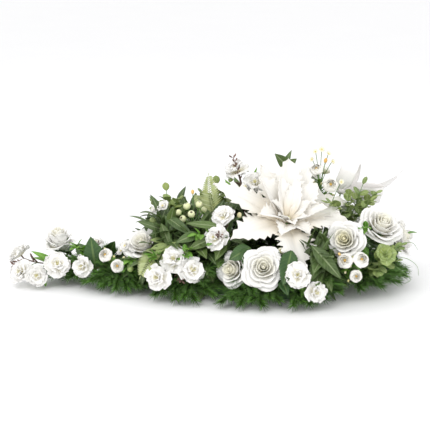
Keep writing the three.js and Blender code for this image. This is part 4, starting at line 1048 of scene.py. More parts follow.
def grow_leaf(piece, shape, point, way, out, lean, size, roll, finish):
    """Adds a leaf that leaves a stem at an angle, with a little chance in its way and tone. It
    tries a few ways that keep clear of the flowers, and is left out where none does."""
    length = shape.points[:, 1].max() * size
    for swing in (0.0, 0.5, -0.5, 1.0, -1.0):
        swung = about(way, swing + roll.uniform(-0.35, 0.35))(out)
        direction = leaning(unit(way), unit(swung), lean + roll.uniform(-0.12, 0.12))
        if clear_of_blooms(point, direction, length):
            matrix = placed(point, direction) @ turned("Y", roll.uniform(-0.35, 0.35)) @ scaled(size)
            piece.add(shape, matrix, roll.random(), finish, roll.uniform(-0.004, 0.006))
            return


def set_leaf(piece, foot, tip, width, profile, tone, teeth=0):
    """Adds one leaf between two points, with its face to the front."""
    way = np.asarray(tip, float) - np.asarray(foot, float)
    shape = leaf(float(np.linalg.norm(way)), width, profile, fold=0.22, droop=0.5, thickness=0.6,
                 rows=2 * teeth or 12, across=6, teeth=teeth)
    piece.add(shape, placed(foot, way, TO_FRONT) @ turned("X", 0.24), tone, LEAF)


def add_wired_leaf(piece, place, root, neck, profile, tone, pull=0.3, join=0.7, wire=1.0, teeth=0):
    """Adds one leaf, and a wire that bends from its foot to the stem between root and neck."""
    foot, tip, width = place
    set_leaf(piece, foot, tip, width, profile, tone, teeth)
    points = arc(foot, mixed(foot, neck, pull), mixed(root, neck, join), 6)
    piece.add_tube(points, [wire] * 6, 5, 0.5, TWIG)


def add_sprig(piece, foot, tip, shape, roll, finish):
    """Adds a thin stem with three pairs of small leaves, and one at its tip."""
    points = bowed(foot, tip, 6, 9)
    piece.add_tube(points, np.linspace(1.0, 0.5, 9), 5, 0.5, TWIG)
    for k in range(3):
        i = 8 - k
        way = unit(points[i] - points[i - 1])
        for turn in (0, math.pi):
            grow_leaf(piece, shape, points[i], way, beside(way, turn + k * 1.5), 0.8,
                      roll.uniform(0.8, 1.2), roll, finish)
    piece.add(shape, placed(tip, points[8] - points[7]), roll.random(), finish)


def sepals(piece, matrix, radius, foot, roll):
    """Adds five narrow green sepals under a bloom."""
    shape = leaf(radius * 0.9, radius * 0.34, LANCE, fold=0.3, droop=0.6, thickness=0.5, rows=4, across=2)
    for k in range(5):
        spot = matrix @ turned("Z", k * TURN / 5 + roll.uniform(-0.1, 0.1)) @ moved(0, radius * 0.12, foot)
        piece.add(shape, spot @ turned("X", 0.75 + roll.uniform(-0.1, 0.15)), roll.random(), LEAF)


class ARRANGEMENT_OT_tray_and_foam(bpy.types.Operator):
    """Gives the tray and the block of foam their finishes"""
    bl_idname = "arrangement.tray_and_foam"
    bl_label = "Tray and foam"

    def execute(self, context):
        tray = plain_finish("moulded_tray", (0.03, 0.08, 0.04), (0.05, 0.12, 0.06), 0.45, 60)
        foam = plain_finish("dry_foam", (0.09, 0.14, 0.05), (0.2, 0.27, 0.12), 0.95, 900, 0.002)
        for node, finish in (("tray", tray), ("foam", foam)):
            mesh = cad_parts[node].data
            mesh.materials.clear()
            mesh.materials.append(finish)
        return {"FINISHED"}


class ARRANGEMENT_OT_poinsettia(bpy.types.Operator):
    """Adds the poinsettia with its jagged velvet bracts, its eye and its stem"""
    bl_idname = "arrangement.poinsettia"
    bl_label = "Poinsettia"

    def execute(self, context):
        colours = settings()[1]
        velvet = petal_finish("velvet_bract", colours.velvet, (0.85, 0.765, 0.62), 0.4, 9, 1400)
        base = facing(POINSETTIA["pos"], POINSETTIA["face"])
        roll = random.Random(11)
        piece = Piece()
        for ring, (radius, height, *form) in BRACT_RINGS.items():
            for size in POINSETTIA[ring]:
                shape = bract(size, roll, *form)
                piece.add(shape, bract_spot(base, size, radius, height), roll.random())
        piece.make("poinsettia_bracts", [velvet], "poinsettia_petal", ["poinsettia_petals"])
        self.add_eye(base, roll)
        self.add_stem(base)
        return {"FINISHED"}

    def add_eye(self, base, roll):
        """Small yellow-tipped buds in the heart of the flower."""
        bud = ball(10, 7, lambda x, y, z: (x * 1.6, y * 1.6, z * 3.2))
        piece = Piece()
        for i in range(9):
            r, a = (3.4 + 1.2 * (i % 2), i * TURN / 8) if i else (0.0, 0.0)
            spot = base @ moved(r * math.cos(a), r * math.sin(a), POINSETTIA["top"] + 3.4)
            piece.add(bud, spot @ turned("X", 0.2 * math.sin(a)), roll.random())
        eye = plain_finish("cream_bud", (0.75, 0.72, 0.4), (0.8, 0.78, 0.6), 0.55, 300)
        piece.make("poinsettia_buds", [eye], "berry", ["poinsettia_eye"])

    def add_stem(self, base):
        """A stem that runs straight up to the neck and widens under the hub."""
        neck = spot_of(base, z=POINSETTIA["low"] - POINSETTIA["neck"])
        foot = spot_of(base, z=POINSETTIA["low"] + 3)
        points = straight(POINSETTIA["root"], neck, 6, 0.9) + [neck, mixed(neck, foot, 0.6), foot]
        piece = Piece()
        piece.add_tube(points, [3] * 7 + [3.2, 6], 10)
        piece.make("poinsettia_wire", [twig_green()], "stem", ["poinsettia_stem"])


class ARRANGEMENT_OT_roses(bpy.types.Operator):
    """Adds the roses: rings of rolled petals, with a calyx, stem and saw-edged leaves"""
    bl_idname = "arrangement.roses"
    bl_label = "Roses"

    def execute(self, context):
        sizes, colours = settings()
        silk = petal_finish("silk_rose_petal", colours.rose, colours.heart, 0.4, 7, 900, 0.9)
        thin = sizes.petal_thickness / MM / MIDDLE_ROSE
        petals = [[rose_petal(ring, wave, thin) for wave in (0.4, 2.1)] for ring in ROSE_RINGS]
        broad = leaf(58, 36, OVAL, fold=0.3, droop=0.4, thickness=sizes.leaf_thickness / MM,
                     rows=20, teeth=10)
        small = leaf(22, 14, OVAL, fold=0.25, droop=0.4, thickness=0.5, rows=6)
        heart = ball()
        for name, (pos, face, radius, opened, root), roll in each_of(ROSES, 100):
            base = facing(pos, face)
            bloom = self.bloom(base, radius, opened, petals, heart, roll)
            bloom.make(f"rose_{name}_bloom", [silk], "rose_petal", [f"rose_{name}"])
            self.add_greens(name, base, radius, root, broad, small, roll)
        return {"FINISHED"}

    def bloom(self, base, radius, opened, petals, heart, roll):
        """Rings of petals round a small heart."""
        wide, tall, warm = opened
        piece = Piece()
        inside = moved(0, 0, 0.22 * radius * tall) @ scaled(radius) @ stretched(0.1, 0.1, 0.28)
        piece.add(heart, base @ inside, 0.9 * warm)
        for (count, reach, *_), shapes in zip(ROSE_RINGS, petals):
            first = roll.uniform(0, TURN)
            for k in range(count):
                spot = base @ turned("Z", first + k * TURN / count + roll.uniform(-0.08, 0.08))
                spot = spot @ scaled(radius) @ stretched(wide, wide, tall)
                tilt = turned("Y", roll.uniform(-0.07, 0.07))
                tone = (1 - reach) * warm + 0.35 * (1 - warm) + roll.uniform(-0.08, 0.08)
                piece.add(shapes[k % 2], spot @ tilt, tone)
        return piece

    def add_greens(self, name, base, radius, root, broad, small, roll):
        """The calyx, the stem and its leaves."""
        piece = Piece()
        foot = spot_of(base, z=-0.5 * radius)
        below = spot_of(base, z=-0.84 * radius)
        points = np.vstack([arc(root, mixed(root, below, 0.6), below, 10), [mixed(below, foot, 0.5), foot]])
        piece.add_tube(points, [2] * 9 + [2.6, 0.22 * radius, 0.33 * radius], 8, 0.5, TWIG)
        sepals(piece, base, radius, -0.56 * radius, roll)
        way = unit(below - np.asarray(root, float))
        for share, turn in ROSE_LEAVES:
            out = beside(way, turn + roll.uniform(-0.3, 0.3))
            grow_leaf(piece, broad, mixed(root, below, share), way, out, 0.95, roll.uniform(0.8, 1.15),
                      roll, LEAF)
        for place in ROSE_LEAVES_SET.get(name, ()):
            add_wired_leaf(piece, place, root, below, OVAL, roll.uniform(0, 0.25), 0.4, 0.6, teeth=14)
        for foot, tip in SPRIGS.get(name, ()):
            add_sprig(piece, foot, tip, small, roll, SPRIG)
        piece.make(f"rose_{name}_greens", [rose_leaf_green(), twig_green(), fresh_green()], "rose_leaf",
                   [f"rose_{name}_stem"])


def twig_of_head(start, matrix, depth):
    """Points of a side twig that ends square to the back of its head."""
    back = spot_of(matrix, z=-depth)
    behind = -matrix[:3, 2]
    knee = mixed(start, back, 0.6) + behind * np.linalg.norm(back - start) * 0.22
    return np.vstack([arc(start, knee, back, 8), [spot_of(matrix, z=-depth * 0.2)]])


def spray_twigs(root, fork, heads, depth, piece, roll):
    """Adds the stem and side twigs of a spray, and gives each head's matrix, size and twig."""
    root, fork = np.asarray(root, float), np.asarray(fork, float)
    way = unit(fork - root)
    piece.add_tube(straight(root, fork, 8), [2.0] * 7 + [1.6], 6, 0.4, TWIG)
    made = []
    for i, (pos, face, size) in enumerate(heads):
        matrix = facing(pos, face, roll.uniform(0, TURN))
        points = twig_of_head(fork - way * (2 + 2.6 * i), matrix, depth * size / 2)
        piece.add_tube(points, [1.4] * 7 + [1.5, 2.0], 6, roll.random(), TWIG)
        made.append((matrix, size, points))
    return made


class ARRANGEMENT_OT_blossoms(bpy.types.Operator):
    """Adds the sprays of frilled blossoms on brown twigs, with stamens and small buds"""
    bl_idname = "arrangement.blossoms"
    bl_label = "Blossoms"

    def execute(self, context):
        white = petal_finish("blossom_petal_cloth", (0.92, 0.91, 0.885), (0.84, 0.79, 0.56), 0.42, 6)
        yellow = plain_finish("pollen", (0.74, 0.68, 0.3), (0.82, 0.78, 0.5), 0.7, 900)
        petals = [ruffled_petal(30 + k) for k in range(6)]
        bud = ball()
        small = leaf(34, 13, OVAL, fold=0.3, droop=0.5, thickness=0.5, rows=7)
        sprig = leaf(20, 12, OVAL, fold=0.25, droop=0.4, thickness=0.5, rows=6)
        for name, (root, fork, heads), roll in each_of(BLOSSOMS, 200):
            twigs, flowers = Piece(), Piece()
            for matrix, size, points in spray_twigs(root, fork, heads, 0.4, twigs, roll):
                self.add_flower(flowers, matrix, size / 2, petals, bud, roll)
                way = unit(points[7] - points[0])
                for share in (0.35, 0.7):
                    grow_leaf(twigs, small, points[int(share * 7)], way, beside(way, roll.uniform(0, TURN)),
                              0.8, roll.uniform(0.7, 1.1), roll, LEAF)
                self.add_buds(twigs, bud, points, roll)
            for foot, tip, width in BLOSSOM_LEAVES.get(name, ()):
                set_leaf(twigs, foot, tip, width, LANCE, roll.random())
            for foot, tip in BLOSSOM_SPRIGS.get(name, ()):
                add_sprig(twigs, foot, tip, sprig, roll, LEAF)
            flowers.make(f"blossom_{name}_flowers", [white, yellow], "blossom_petal", [f"blossom_{name}"])
            twigs.make(f"blossom_{name}_twigs", [fresh_green(), twig_brown()], "stem", [f"blossom_{name}"])
        return {"FINISHED"}

    def add_flower(self, piece, matrix, half, petals, bud, roll):
        """Whorls of frilled petals round a heart with seven stamens."""
        for count, reach, lift, tilt in WHORLS:
            first = roll.uniform(0, TURN)
            for k in range(count):
                spot = matrix @ turned("Z", first + k * TURN / count + roll.uniform(-0.12, 0.12))
                spot = spot @ scaled(half * reach * roll.uniform(0.86, 1.1)) @ moved(0, 0, lift)
                piece.add(petals[roll.randrange(6)], spot @ turned("Y", tilt + roll.uniform(-0.3, 0.3)),
                          roll.random(), PETAL)
        piece.add(bud, matrix @ moved(0, 0, 0.14 * half) @ scaled(0.16 * half), roll.random(), POLLEN)
        foot = spot_of(matrix, z=half * 0.1)
        for k in range(7):
            a = k * TURN / 7 + roll.uniform(-0.2, 0.2)
            reach = half * roll.uniform(0.06, 0.2)
            tip = spot_of(matrix, reach * math.cos(a), reach * math.sin(a), half * roll.uniform(0.5, 0.62))
            piece.add_tube([foot, tip], [0.35, 0.35], 3, 0.7, POLLEN)
            piece.add(bud, moved(*tip) @ scaled(0.9), roll.random(), POLLEN)

    def add_buds(self, piece, bud, points, roll):
        """A short twiglet with closed brown buds beside a flower."""
        start = points[4]
        way = unit(points[5] - points[3])
        out = beside(way, roll.uniform(0, TURN))
        for k in range(4):
            tip = start + leaning(way, out, 0.5 + 0.12 * k) * (12 + 4 * k)
            piece.add_tube([start, tip], [0.8, 0.6], 4, 0.3, TWIG)
            piece.add(bud, placed(tip, tip - start) @ stretched(1.8, 3.4, 1.8), roll.random() * 0.4, TWIG)


class ARRANGEMENT_OT_mini_roses(bpy.types.Operator):
    """Adds the small cream roses with buds and little leaves"""
    bl_idname = "arrangement.mini_roses"
    bl_label = "Small roses"

    def execute(self, context):
        cream = petal_finish("cream_petal_cloth", (0.88, 0.86, 0.81), (0.76, 0.7, 0.36), 0.5, 6, 900, 0.5)
        petals = [cup_petal(ring, 1.3, 0.035) for ring in CUP_RINGS]
        small = leaf(22, 10, OVAL, fold=0.3, droop=0.5, thickness=0.5, rows=5, across=2)
        bud = ball()
        pale = plain_finish("bud_skin", (0.75, 0.7, 0.3), (0.85, 0.8, 0.55), 0.5, 400)
        orange = plain_finish("orange_heart", (0.6, 0.36, 0.07), (0.75, 0.55, 0.2), 0.7, 400)
        for name, (root, fork, heads), roll in each_of(MINI_ROSES, 300):
            twigs, flowers = Piece(), Piece()
            for matrix, size, points in spray_twigs(root, fork, heads, 0.9, twigs, roll):
                self.add_cup(flowers, matrix, size / 2, petals, bud, roll)
                sepals(twigs, matrix, size / 2, -0.25 * size, roll)
                for k in range(5):
                    way = unit(points[2 + k] - points[k])
                    out = beside(way, SPIRAL * k + roll.uniform(0, 1))
                    grow_leaf(twigs, small, points[1 + k], way, out, 0.9, roll.uniform(0.8, 1.2), roll, LEAF)
                self.add_buds(flowers, twigs, bud, matrix, points[3], roll)
            flowers.make(f"mini_rose_{name}_flowers", [cream, pale, orange], "mini_rose_petal",
                         [f"mini_rose_{name}"])
            twigs.make(f"mini_rose_{name}_twigs", [fresh_green(), twig_green()], "stem",
                       [f"mini_rose_{name}"])
        return {"FINISHED"}

    def add_cup(self, piece, matrix, half, petals, bud, roll):
        """Rings of petals that close in over an orange heart."""
        for (count, reach, *_), shape in zip(CUP_RINGS, petals):
            first = roll.uniform(0, TURN)
            for k in range(count):
                spot = matrix @ turned("Z", first + k * TURN / count) @ scaled(half)
                piece.add(shape, spot, 0.25 + 0.5 * (1 - reach) + roll.uniform(-0.1, 0.1), PETAL)
        piece.add(bud, matrix @ moved(0, 0, 0.2 * half) @ scaled(0.2 * half), 0.3, HEART)

    def add_buds(self, flowers, twigs, bud, matrix, start, roll):
        """Three closed buds on short twiglets behind a flower."""
        for k in range(3):
            away = about(matrix[:3, 2], k * TURN / 3 + roll.uniform(0, 1))(matrix[:3, 0])
            tip = start + unit(matrix[:3, 2] + 0.9 * away) * roll.uniform(20, 28)
            twigs.add_tube([start, tip], [0.7, 0.6], 4, 0.6, TWIG)
            flowers.add(bud, placed(tip, tip - start) @ stretched(2.4, 4.0, 2.4), roll.random(), BUD)


class ARRANGEMENT_OT_berries(bpy.types.Operator):
    """Adds the spray of pale berries with dark crowns"""
    bl_idname = "arrangement.berries"
    bl_label = "Berries"

    def execute(self, context):
        dimpled = ball(16, 11, lambda x, y, z: (x, y, z - 0.22 * smooth(past(z, 0.8))))
        root, fork, heads = BERRIES
        roll = random.Random(400)
        twigs, fruit = Piece(), Piece()
        star = leaf(7, 3, LANCE, fold=0.2, droop=0.5, thickness=0.4, rows=3, across=2)
        for matrix, size, _ in spray_twigs(root, fork, heads, 1.0, twigs, roll):
            fruit.add(dimpled, matrix @ scaled(size / 2), roll.random())
            for k in range(5):
                spot = matrix @ turned("Z", k * TURN / 5) @ moved(0, 1.5, -size / 2)
                twigs.add(star, spot @ turned("X", 0.5), roll.random(), LEAF)
        fruit.make("berry_fruit", [berry_finish("berry_skin")], "berry", ["berries"])
        twigs.make("berry_twigs", [fresh_green(), twig_green()], "stem", ["berries"])
        return {"FINISHED"}


class ARRANGEMENT_OT_buds(bpy.types.Operator):
    """Adds the brown bud clusters, the tiny flowers on thin stems, the orange buds and the pods"""
    bl_idname = "arrangement.buds"
    bl_label = "Buds and tiny flowers"

    def execute(self, context):
        roll = random.Random(450)
        bud = ball()
        petals = [ruffled_petal(90 + k) for k in range(2)]
        self.add_clusters(bud, roll)
        self.add_tiny_flowers(bud, petals, roll)
        self.add_balls(bud, roll)
        return {"FINISHED"}

    def add_clusters(self, bud, roll):
        """Twigs with sixteen buds round the last half."""
        piece = Piece()
        for foot, tip in BUD_CLUSTERS:
            points = bowed(foot, tip, 5, 10)
            piece.add_tube(points, np.linspace(1.3, 0.7, 10), 5)
            way = unit(points[9] - points[4])
            for k in range(16):
                start = points[9 - k // 3]
                end = start + leaning(way, beside(way, SPIRAL * k), 0.75) * roll.uniform(5, 9)
                piece.add_tube([start, end], [0.6, 0.5], 4)
                piece.add(bud, placed(end, end - start) @ stretched(1.7, 4.4, 1.7), roll.random())
        piece.make("bud_clusters", [twig_brown()], "stem")

    def add_tiny_flowers(self, bud, petals, roll):
        """Stems with one small open flower each."""
        cream = petal_finish("tiny_flower_cloth", (0.86, 0.84, 0.7), (0.8, 0.74, 0.36), 0.5, 4)
        white = petal_finish("star_flower_cloth", (0.88, 0.87, 0.84), (0.82, 0.79, 0.6), 0.3, 6)
        yellow = plain_finish("tiny_heart", (0.62, 0.5, 0.12), (0.75, 0.66, 0.3), 0.7, 400)
        stems, flowers = Piece(), Piece()
        for foot, heads in TINY_FLOWERS:
            for tip, face, size in heads:
                matrix = facing(tip, face, roll.uniform(0, TURN))
                stems.add_tube(twig_of_head(np.asarray(foot, float), matrix, 2.0), [0.8] * 9, 5)
                double = size > DOUBLE_FROM
                for k in range(10 if double else 5):
                    upper = k // 5
                    spot = matrix @ turned("Z", k * TURN / 5 + 0.6 * upper)
                    spot = spot @ scaled(size / 2 * (1 - 0.25 * upper))
                    spot = spot @ turned("Y", roll.uniform(-0.3, 0.1) - 0.5 * upper)
                    flowers.add(petals[k % 2], spot, roll.random(), STAR if double else PETAL)
                flowers.add(bud, matrix @ moved(0, 0, size * 0.1) @ scaled(size * 0.1), roll.random(), POLLEN)
        flowers.make("tiny_flowers", [cream, yellow, white], "blossom_petal")
        stems.make("tiny_flower_stems", [twig_green()], "stem")

    def add_balls(self, bud, roll):
        """Orange buds, green pods and pale pods, each on its own stem."""
        orange = plain_finish("orange_bud_skin", (0.7, 0.38, 0.08), (0.8, 0.55, 0.2), 0.5, 300)
        green = plain_finish("pod_skin", (0.26, 0.36, 0.1), (0.4, 0.48, 0.2), 0.55, 300)
        pale = plain_finish("pale_pod_skin", (0.55, 0.5, 0.26), (0.74, 0.69, 0.45), 0.6, 200, 0.0008)
        piece = Piece()
        for foot, tip, width, height, finish in BALLS:
            points = bowed(foot, tip, 4, 10, 0.6)
            piece.add_tube(points, [0.9] * 10, 5, 0.5, WIRE)
            spot = placed(points[9], points[9] - points[8]) @ stretched(width / 2, height / 2, width / 2)
            piece.add(bud, spot, roll.random(), finish)
        piece.make("buds_and_pods", [orange, green, twig_green(), pale], "berry")


def leafy_stem(piece, root, tip, bow, tiers, each, shape, lean, size, roll, start, radius):
    """A stem with leaves round it, and one at its tip unless that would pierce a flower."""
    points = arc(root, mixed(root, tip, 0.55) + np.asarray(bow, float), tip, 16)
    piece.add_tube(points, np.linspace(radius, radius * 0.5, 16), 5, 0.5, TWIG)
    for i in range(tiers):
        share = start + (1 - start) * i / tiers
        spot, after = points[int(share * 15)], points[int(share * 15) + 1]
        way = unit(after - spot)
        for k in range(each):
            out = beside(way, k * TURN / each + i * 1.3 + roll.uniform(-0.25, 0.25))
            grow_leaf(piece, shape, spot, way, out, lean * (1 - 0.35 * share),
                      size * (1 - 0.35 * share) * roll.uniform(0.85, 1.1), roll, LEAF)
    way = unit(points[15] - points[14])
    tone = roll.random()
    if clear_of_blooms(points[15], way, shape.points[:, 1].max() * size * 0.6):
        piece.add(shape, placed(points[15], way) @ scaled(size * 0.6), tone, LEAF)


class ARRANGEMENT_OT_leaves(bpy.types.Operator):
    """Adds the stems of long grey-green leaves"""
    bl_idname = "arrangement.leaves"
    bl_label = "Long leaves"

    def execute(self, context):
        sizes, colours = settings()
        green = leaf_finish("long_leaf_print", colours.leaf, (0.1, 0.162, 0.046),
                            (0.26, 0.32, 0.16), 0.5, 10.0)
        shape = leaf(92, 34, LANCE, fold=0.25, droop=0.45, thickness=sizes.leaf_thickness / MM, rows=9)
        for name, (root, tip, bow), roll in each_of(LEAVES, 500):
            piece = Piece()
            leafy_stem(piece, root, tip, bow, 6, 3, shape, 1.25, 1.0, roll, 0.12, 1.7)
            for share, end in LEAF_FORKS[name]:
                leafy_stem(piece, mixed(root, tip, share), end, (0, 0, 8), 4, 3, shape, 1.1, 0.9, roll,
                           0.25, 1.1)
            for place in LONG_LEAVES_SET.get(name, ()):
                add_wired_leaf(piece, place, root, tip, LANCE, roll.uniform(0, 0.7))
            piece.make(f"leaves_{name}_bunch", [green, twig_green()], "leaf", [f"leaves_{name}"])
        return {"FINISHED"}


class ARRANGEMENT_OT_eucalyptus(bpy.types.Operator):
    """Adds the stems of round pale eucalyptus leaves"""
    bl_idname = "arrangement.eucalyptus"
    bl_label = "Eucalyptus"

    def execute(self, context):
        dusty = leaf_finish("eucalyptus_skin", (0.12, 0.19, 0.045), (0.28, 0.36, 0.12),
                            (0.42, 0.5, 0.26), 0.6, 5.0, 0.05)
        shape = leaf(30, 29, ROUND, fold=0.12, droop=0.35, thickness=0.7, across=6, cup=0.3)
        for name, (root, tip), roll in each_of(EUCALYPTUS, 600):
            piece = Piece()
            leafy_stem(piece, root, tip, (0, 0, 0), 9, 2, shape, 1.05, 1.0, roll, 0.2, 1.5)
            for share, end in EUCALYPTUS_FORKS[name]:
                leafy_stem(piece, mixed(root, tip, share), end, (0, 0, 6), 6, 2, shape, 1.05, 0.85, roll,
                           0.3, 1.0)
            for place in DUSTY_LEAVES_SET.get(name, ()):
                add_wired_leaf(piece, place, root, tip, LANCE, roll.uniform(0.7, 1), wire=0.9)
            if name == "end":
                self.add_rosette(piece, shape, roll)
            piece.make(f"eucalyptus_{name}_stem", [dusty, twig_green()], "eucalyptus",
                       [f"eucalyptus_{name}"])
        return {"FINISHED"}

    def add_rosette(self, piece, shape, roll):
        """Whorls of round leaves that open towards the front, and thin curled tendrils."""
        base = facing(ROSETTE["pos"], ROSETTE["face"])
        for count, rise, size in ROSETTE["rings"]:
            first = roll.uniform(0, TURN)
            for k in range(count):
                swing = first + k * TURN / count + roll.uniform(-0.2, 0.2)
                spot = base @ turned("Z", swing) @ turned("X", rise + roll.uniform(-0.2, 0.2))
                spot = spot @ scaled(0.84 * size * roll.uniform(0.85, 1.1))
                piece.add(shape, spot, roll.uniform(0.5, 1), LEAF)
        for points in TENDRILS:
            piece.add_tube(through(points, 16), np.linspace(0.8, 0.35, 16), 5, 0.8, TWIG)


class ARRANGEMENT_OT_ferns(bpy.types.Operator):
    """Adds the pale fern fronds, each cut into leaflets"""
    bl_idname = "arrangement.ferns"
    bl_label = "Ferns"

    def execute(self, context):
        skin = leaf_finish("fern_film", (0.26, 0.32, 0.1), (0.46, 0.52, 0.26), (0.5, 0.54, 0.3), 0.5, 4.0,
                           0.12)
        leaflet = leaf(LEAFLET, 4.6, LANCE, fold=0.2, droop=0.3, thickness=0.5, rows=4, across=2)
        for name, (root, neck, fronds), roll in each_of(FERNS, 700):
            piece = Piece()
            piece.add_tube(straight(root, neck, 6), [1.8] * 6, 6, 0.4, TWIG)
            for heading, up, length, width in fronds:
                self.add_frond(piece, placed(neck, heading, up), length, width, leaflet, roll)
            piece.make(f"fern_{name}_fronds", [skin, twig_green()], "fern", [f"fern_{name}"])
        return {"FINISHED"}

    def add_frond(self, piece, matrix, length, width, leaflet, roll):
        """A drooping rib with a leaflet to either side at each step, and one at its tip."""
        side, ahead, above = matrix[:3, :3].T
        points, ways = [], []
        for t in np.linspace(0, 1, FROND_PAIRS + 3):
            points.append(spot_of(matrix, 0, *drooping(length, FROND_DROOP, t)))
            ways.append(leaning(ahead, -above, FROND_DROOP * t))
        piece.add_tube(points, np.linspace(1.1, 0.4, len(points)), 5, 0.6)
        for k in range(1, FROND_PAIRS + 2):
            share = k / (FROND_PAIRS + 1)
            reach = width / 2 * math.sin(math.pi * (0.16 + 0.84 * (1 - share)) * 0.62) / LEAFLET
            normal = np.cross(side, ways[k])
            for sign in (-1, 1):
                direction = leaning(ways[k], sign * side, 1.1)
                spot = placed(points[k], direction, normal) @ stretched(1, reach * 1.15, 1)
                piece.add(leaflet, spot, roll.random())
        piece.add(leaflet, placed(points[-1], ways[-1], np.cross(side, ways[-1])) @ scaled(0.4), 0.5)


class ARRANGEMENT_OT_pine(bpy.types.Operator):
    """Adds the pine picks round the rim, with a needle for each short step of twig"""
    bl_idname = "arrangement.pine"
    bl_label = "Pine"

    def execute(self, context):
        sizes, colours = settings()
        film = needle_finish("pine_film", colours.pine, rgba(colours.pine, 3.2)[:3])
        self.spike = self.model_spike()
        self.long = sizes.needle_length / MM
        self.step = sizes.needle_step / MM
        for name, (root, neck, tips, rising), roll in each_of(PINES, 800):
            needles, bark = Piece(), Piece()
            bark.add_tube(straight(root, neck, 3), [2, 2, 2], 6)
            for k, tip in enumerate(tips):
                start = mixed(neck, root, 0.05 + 0.07 * k)
                points = bowed(start, tip, 6, 24)
                self.add_twig(needles, bark, points, roll)
                self.add_side_twigs(needles, bark, points, roll)
                self.add_upper_twig(needles, bark, start, tip, roll)
            for twig in rising:
                start, tip = twig if len(twig) == 2 else (neck, twig)
                self.add_twig(needles, bark, bowed(start, tip, 12, 20), roll, 1.1)
            needles.make(f"pine_{name}_needles", [film], "pine", [f"pine_{name}"])
            bark.make(f"pine_{name}_twigs", [twig_brown()], "pine", [f"pine_{name}"])
        return {"FINISHED"}

    def model_spike(self):
        """A three-sided needle of length 1 that runs along +Y."""
        obj = model(bpy.ops.mesh.primitive_cone_add, vertices=3, radius1=1.2, radius2=0, depth=1)
        for point in obj.data.vertices:
            point.co = (-point.co.x, point.co.z + 0.5, point.co.y)
        return take_shape(obj)

    def add_side_twigs(self, needles, bark, points, roll):
        """Shorter twigs that fork off to both sides and fill the gap to the next twig."""
        length = np.linalg.norm(points[-1] - points[0])
        for share, sign in ((0.34, 1), (0.5, -1), (0.66, roll.choice((-1, 1)))):
            i = int(share * 23)
            way = unit(points[i + 1] - points[i])
            out = leaning(way, sign * side_of(way), roll.uniform(0.65, 0.9))
            out = unit(out + UP * roll.uniform(0, 0.22))
            tip = points[i] + out * length * (0.52 - 0.3 * share) * roll.uniform(0.85, 1.1)
            tip[2] = max(tip[2], TWIG_LOW)
            self.add_twig(needles, bark, bowed(points[i], tip, 2, 14), roll, 0.9, 0.92)

    def add_upper_twig(self, needles, bark, start, tip, roll):
        """A twig above the lower one that hides the foam behind it."""
        share = roll.uniform(0.5, 0.66)
        rise = roll.uniform(24, 38)
        end = mixed(start, tip, share) + np.array([roll.uniform(-14, 14), 0, rise])
        self.add_twig(needles, bark, bowed(start, end, rise * 0.3, 18), roll, 1.1)

    def add_twig(self, needles, bark, points, roll, girth=1.5, needle_share=1.0):
        """A twig with needles that wind round it, flatter to the sides and closer at its tip."""
        bark.add_tube(points, np.linspace(girth, 0.7, len(points)), 5)
        lengths = np.linalg.norm(np.diff(points, axis=0), axis=1)
        total = float(lengths.sum())
        reached = np.concatenate([[0], np.cumsum(lengths)])
        ways = np.gradient(points, axis=0)
        turn = roll.uniform(0, TURN)
        for s in np.arange(total * 0.14, total, self.step):
            way = unit(between(s, reached, ways))
            turn += SPIRAL + roll.uniform(-0.2, 0.2)
            side = side_of(way)
            out = unit(side * math.cos(turn) + np.cross(side, way) * 0.42 * math.sin(turn))
            lean = 0.95 - 0.4 * (s / total) ** 2 + roll.uniform(-0.08, 0.08)
            size = self.long * needle_share * roll.uniform(0.82, 1.04)
            matrix = placed(between(s, reached, points), leaning(way, out, lean)) @ stretched(1, size, 1)
            needles.add(self.spike, matrix, roll.random())


class ARRANGEMENT_OT_bow(bpy.types.Operator):
    """Adds the satin bow: two loops and a tail of ribbon, tied at a knot on a wire"""
    bl_idname = "arrangement.bow"
    bl_label = "Bow"

    def execute(self, context):
        width = settings()[0].ribbon_width / MM
        satin = satin_finish("ribbon_satin")
        knot = np.asarray(BOW["knot"], float)
        for name, across, points in BOW["strips"]:
            path = through([knot + np.asarray(p, float) for p in points], 40)
            self.add_strip(name, path, unit(across), width, name != "tail", satin)
        piece = Piece()
        piece.add(ball(20, 14, self.gathered), moved(*knot) @ scaled(BOW["knot_radius"]))
        tied = piece.make("ribbon_knot", [satin], "ribbon", ["ribbon_bow"])
        wire = Piece()
        wire.add_tube(straight(BOW["root"], knot, 8, 0.97), [1.8] * 8)
        wire.make("ribbon_wire", [twig_green()], "stem", ["ribbon_bow"])
        return {"FINISHED"}

    def gathered(self, x, y, z):
        """Seven folds round the knot."""
        r = 1 + 0.06 * math.sin(7 * math.atan2(y, x) + 4 * z)
        return x * r, y * r, z * 0.85

    def add_strip(self, name, path, across, width, loop, satin):
        """A strip of ribbon along a path that is gathered at the knot, at both ends of a loop."""
        ways = np.gradient(path, axis=0)
        stations = np.arange(len(path))

        def place(u, v):
            i = v * stations[-1]
            way = unit(between(i, stations, ways))
            gather = smooth(min(v, 1 - v if loop else 1) / 0.16)
            half = width / 2 * (0.28 + 0.72 * gather)
            folds = (1 - gather) * 2.5 * math.cos(7 * u) + 1.2 * math.sin(3 * u + 9 * v)
            point = between(i, stations, path) + across * u * half + unit(np.cross(across, way)) * folds
            notched = not loop and v > 0.97
            return point + way * 6 * abs(u) if notched else point

        piece = Piece()
        piece.add(model_sheet(12, 60, place, 0.4), np.identity(4))
        length = float(np.linalg.norm(np.diff(path, axis=0), axis=1).sum())
        return piece.make(f"ribbon_{name}", [satin], "ribbon", ["ribbon_bow"]), length


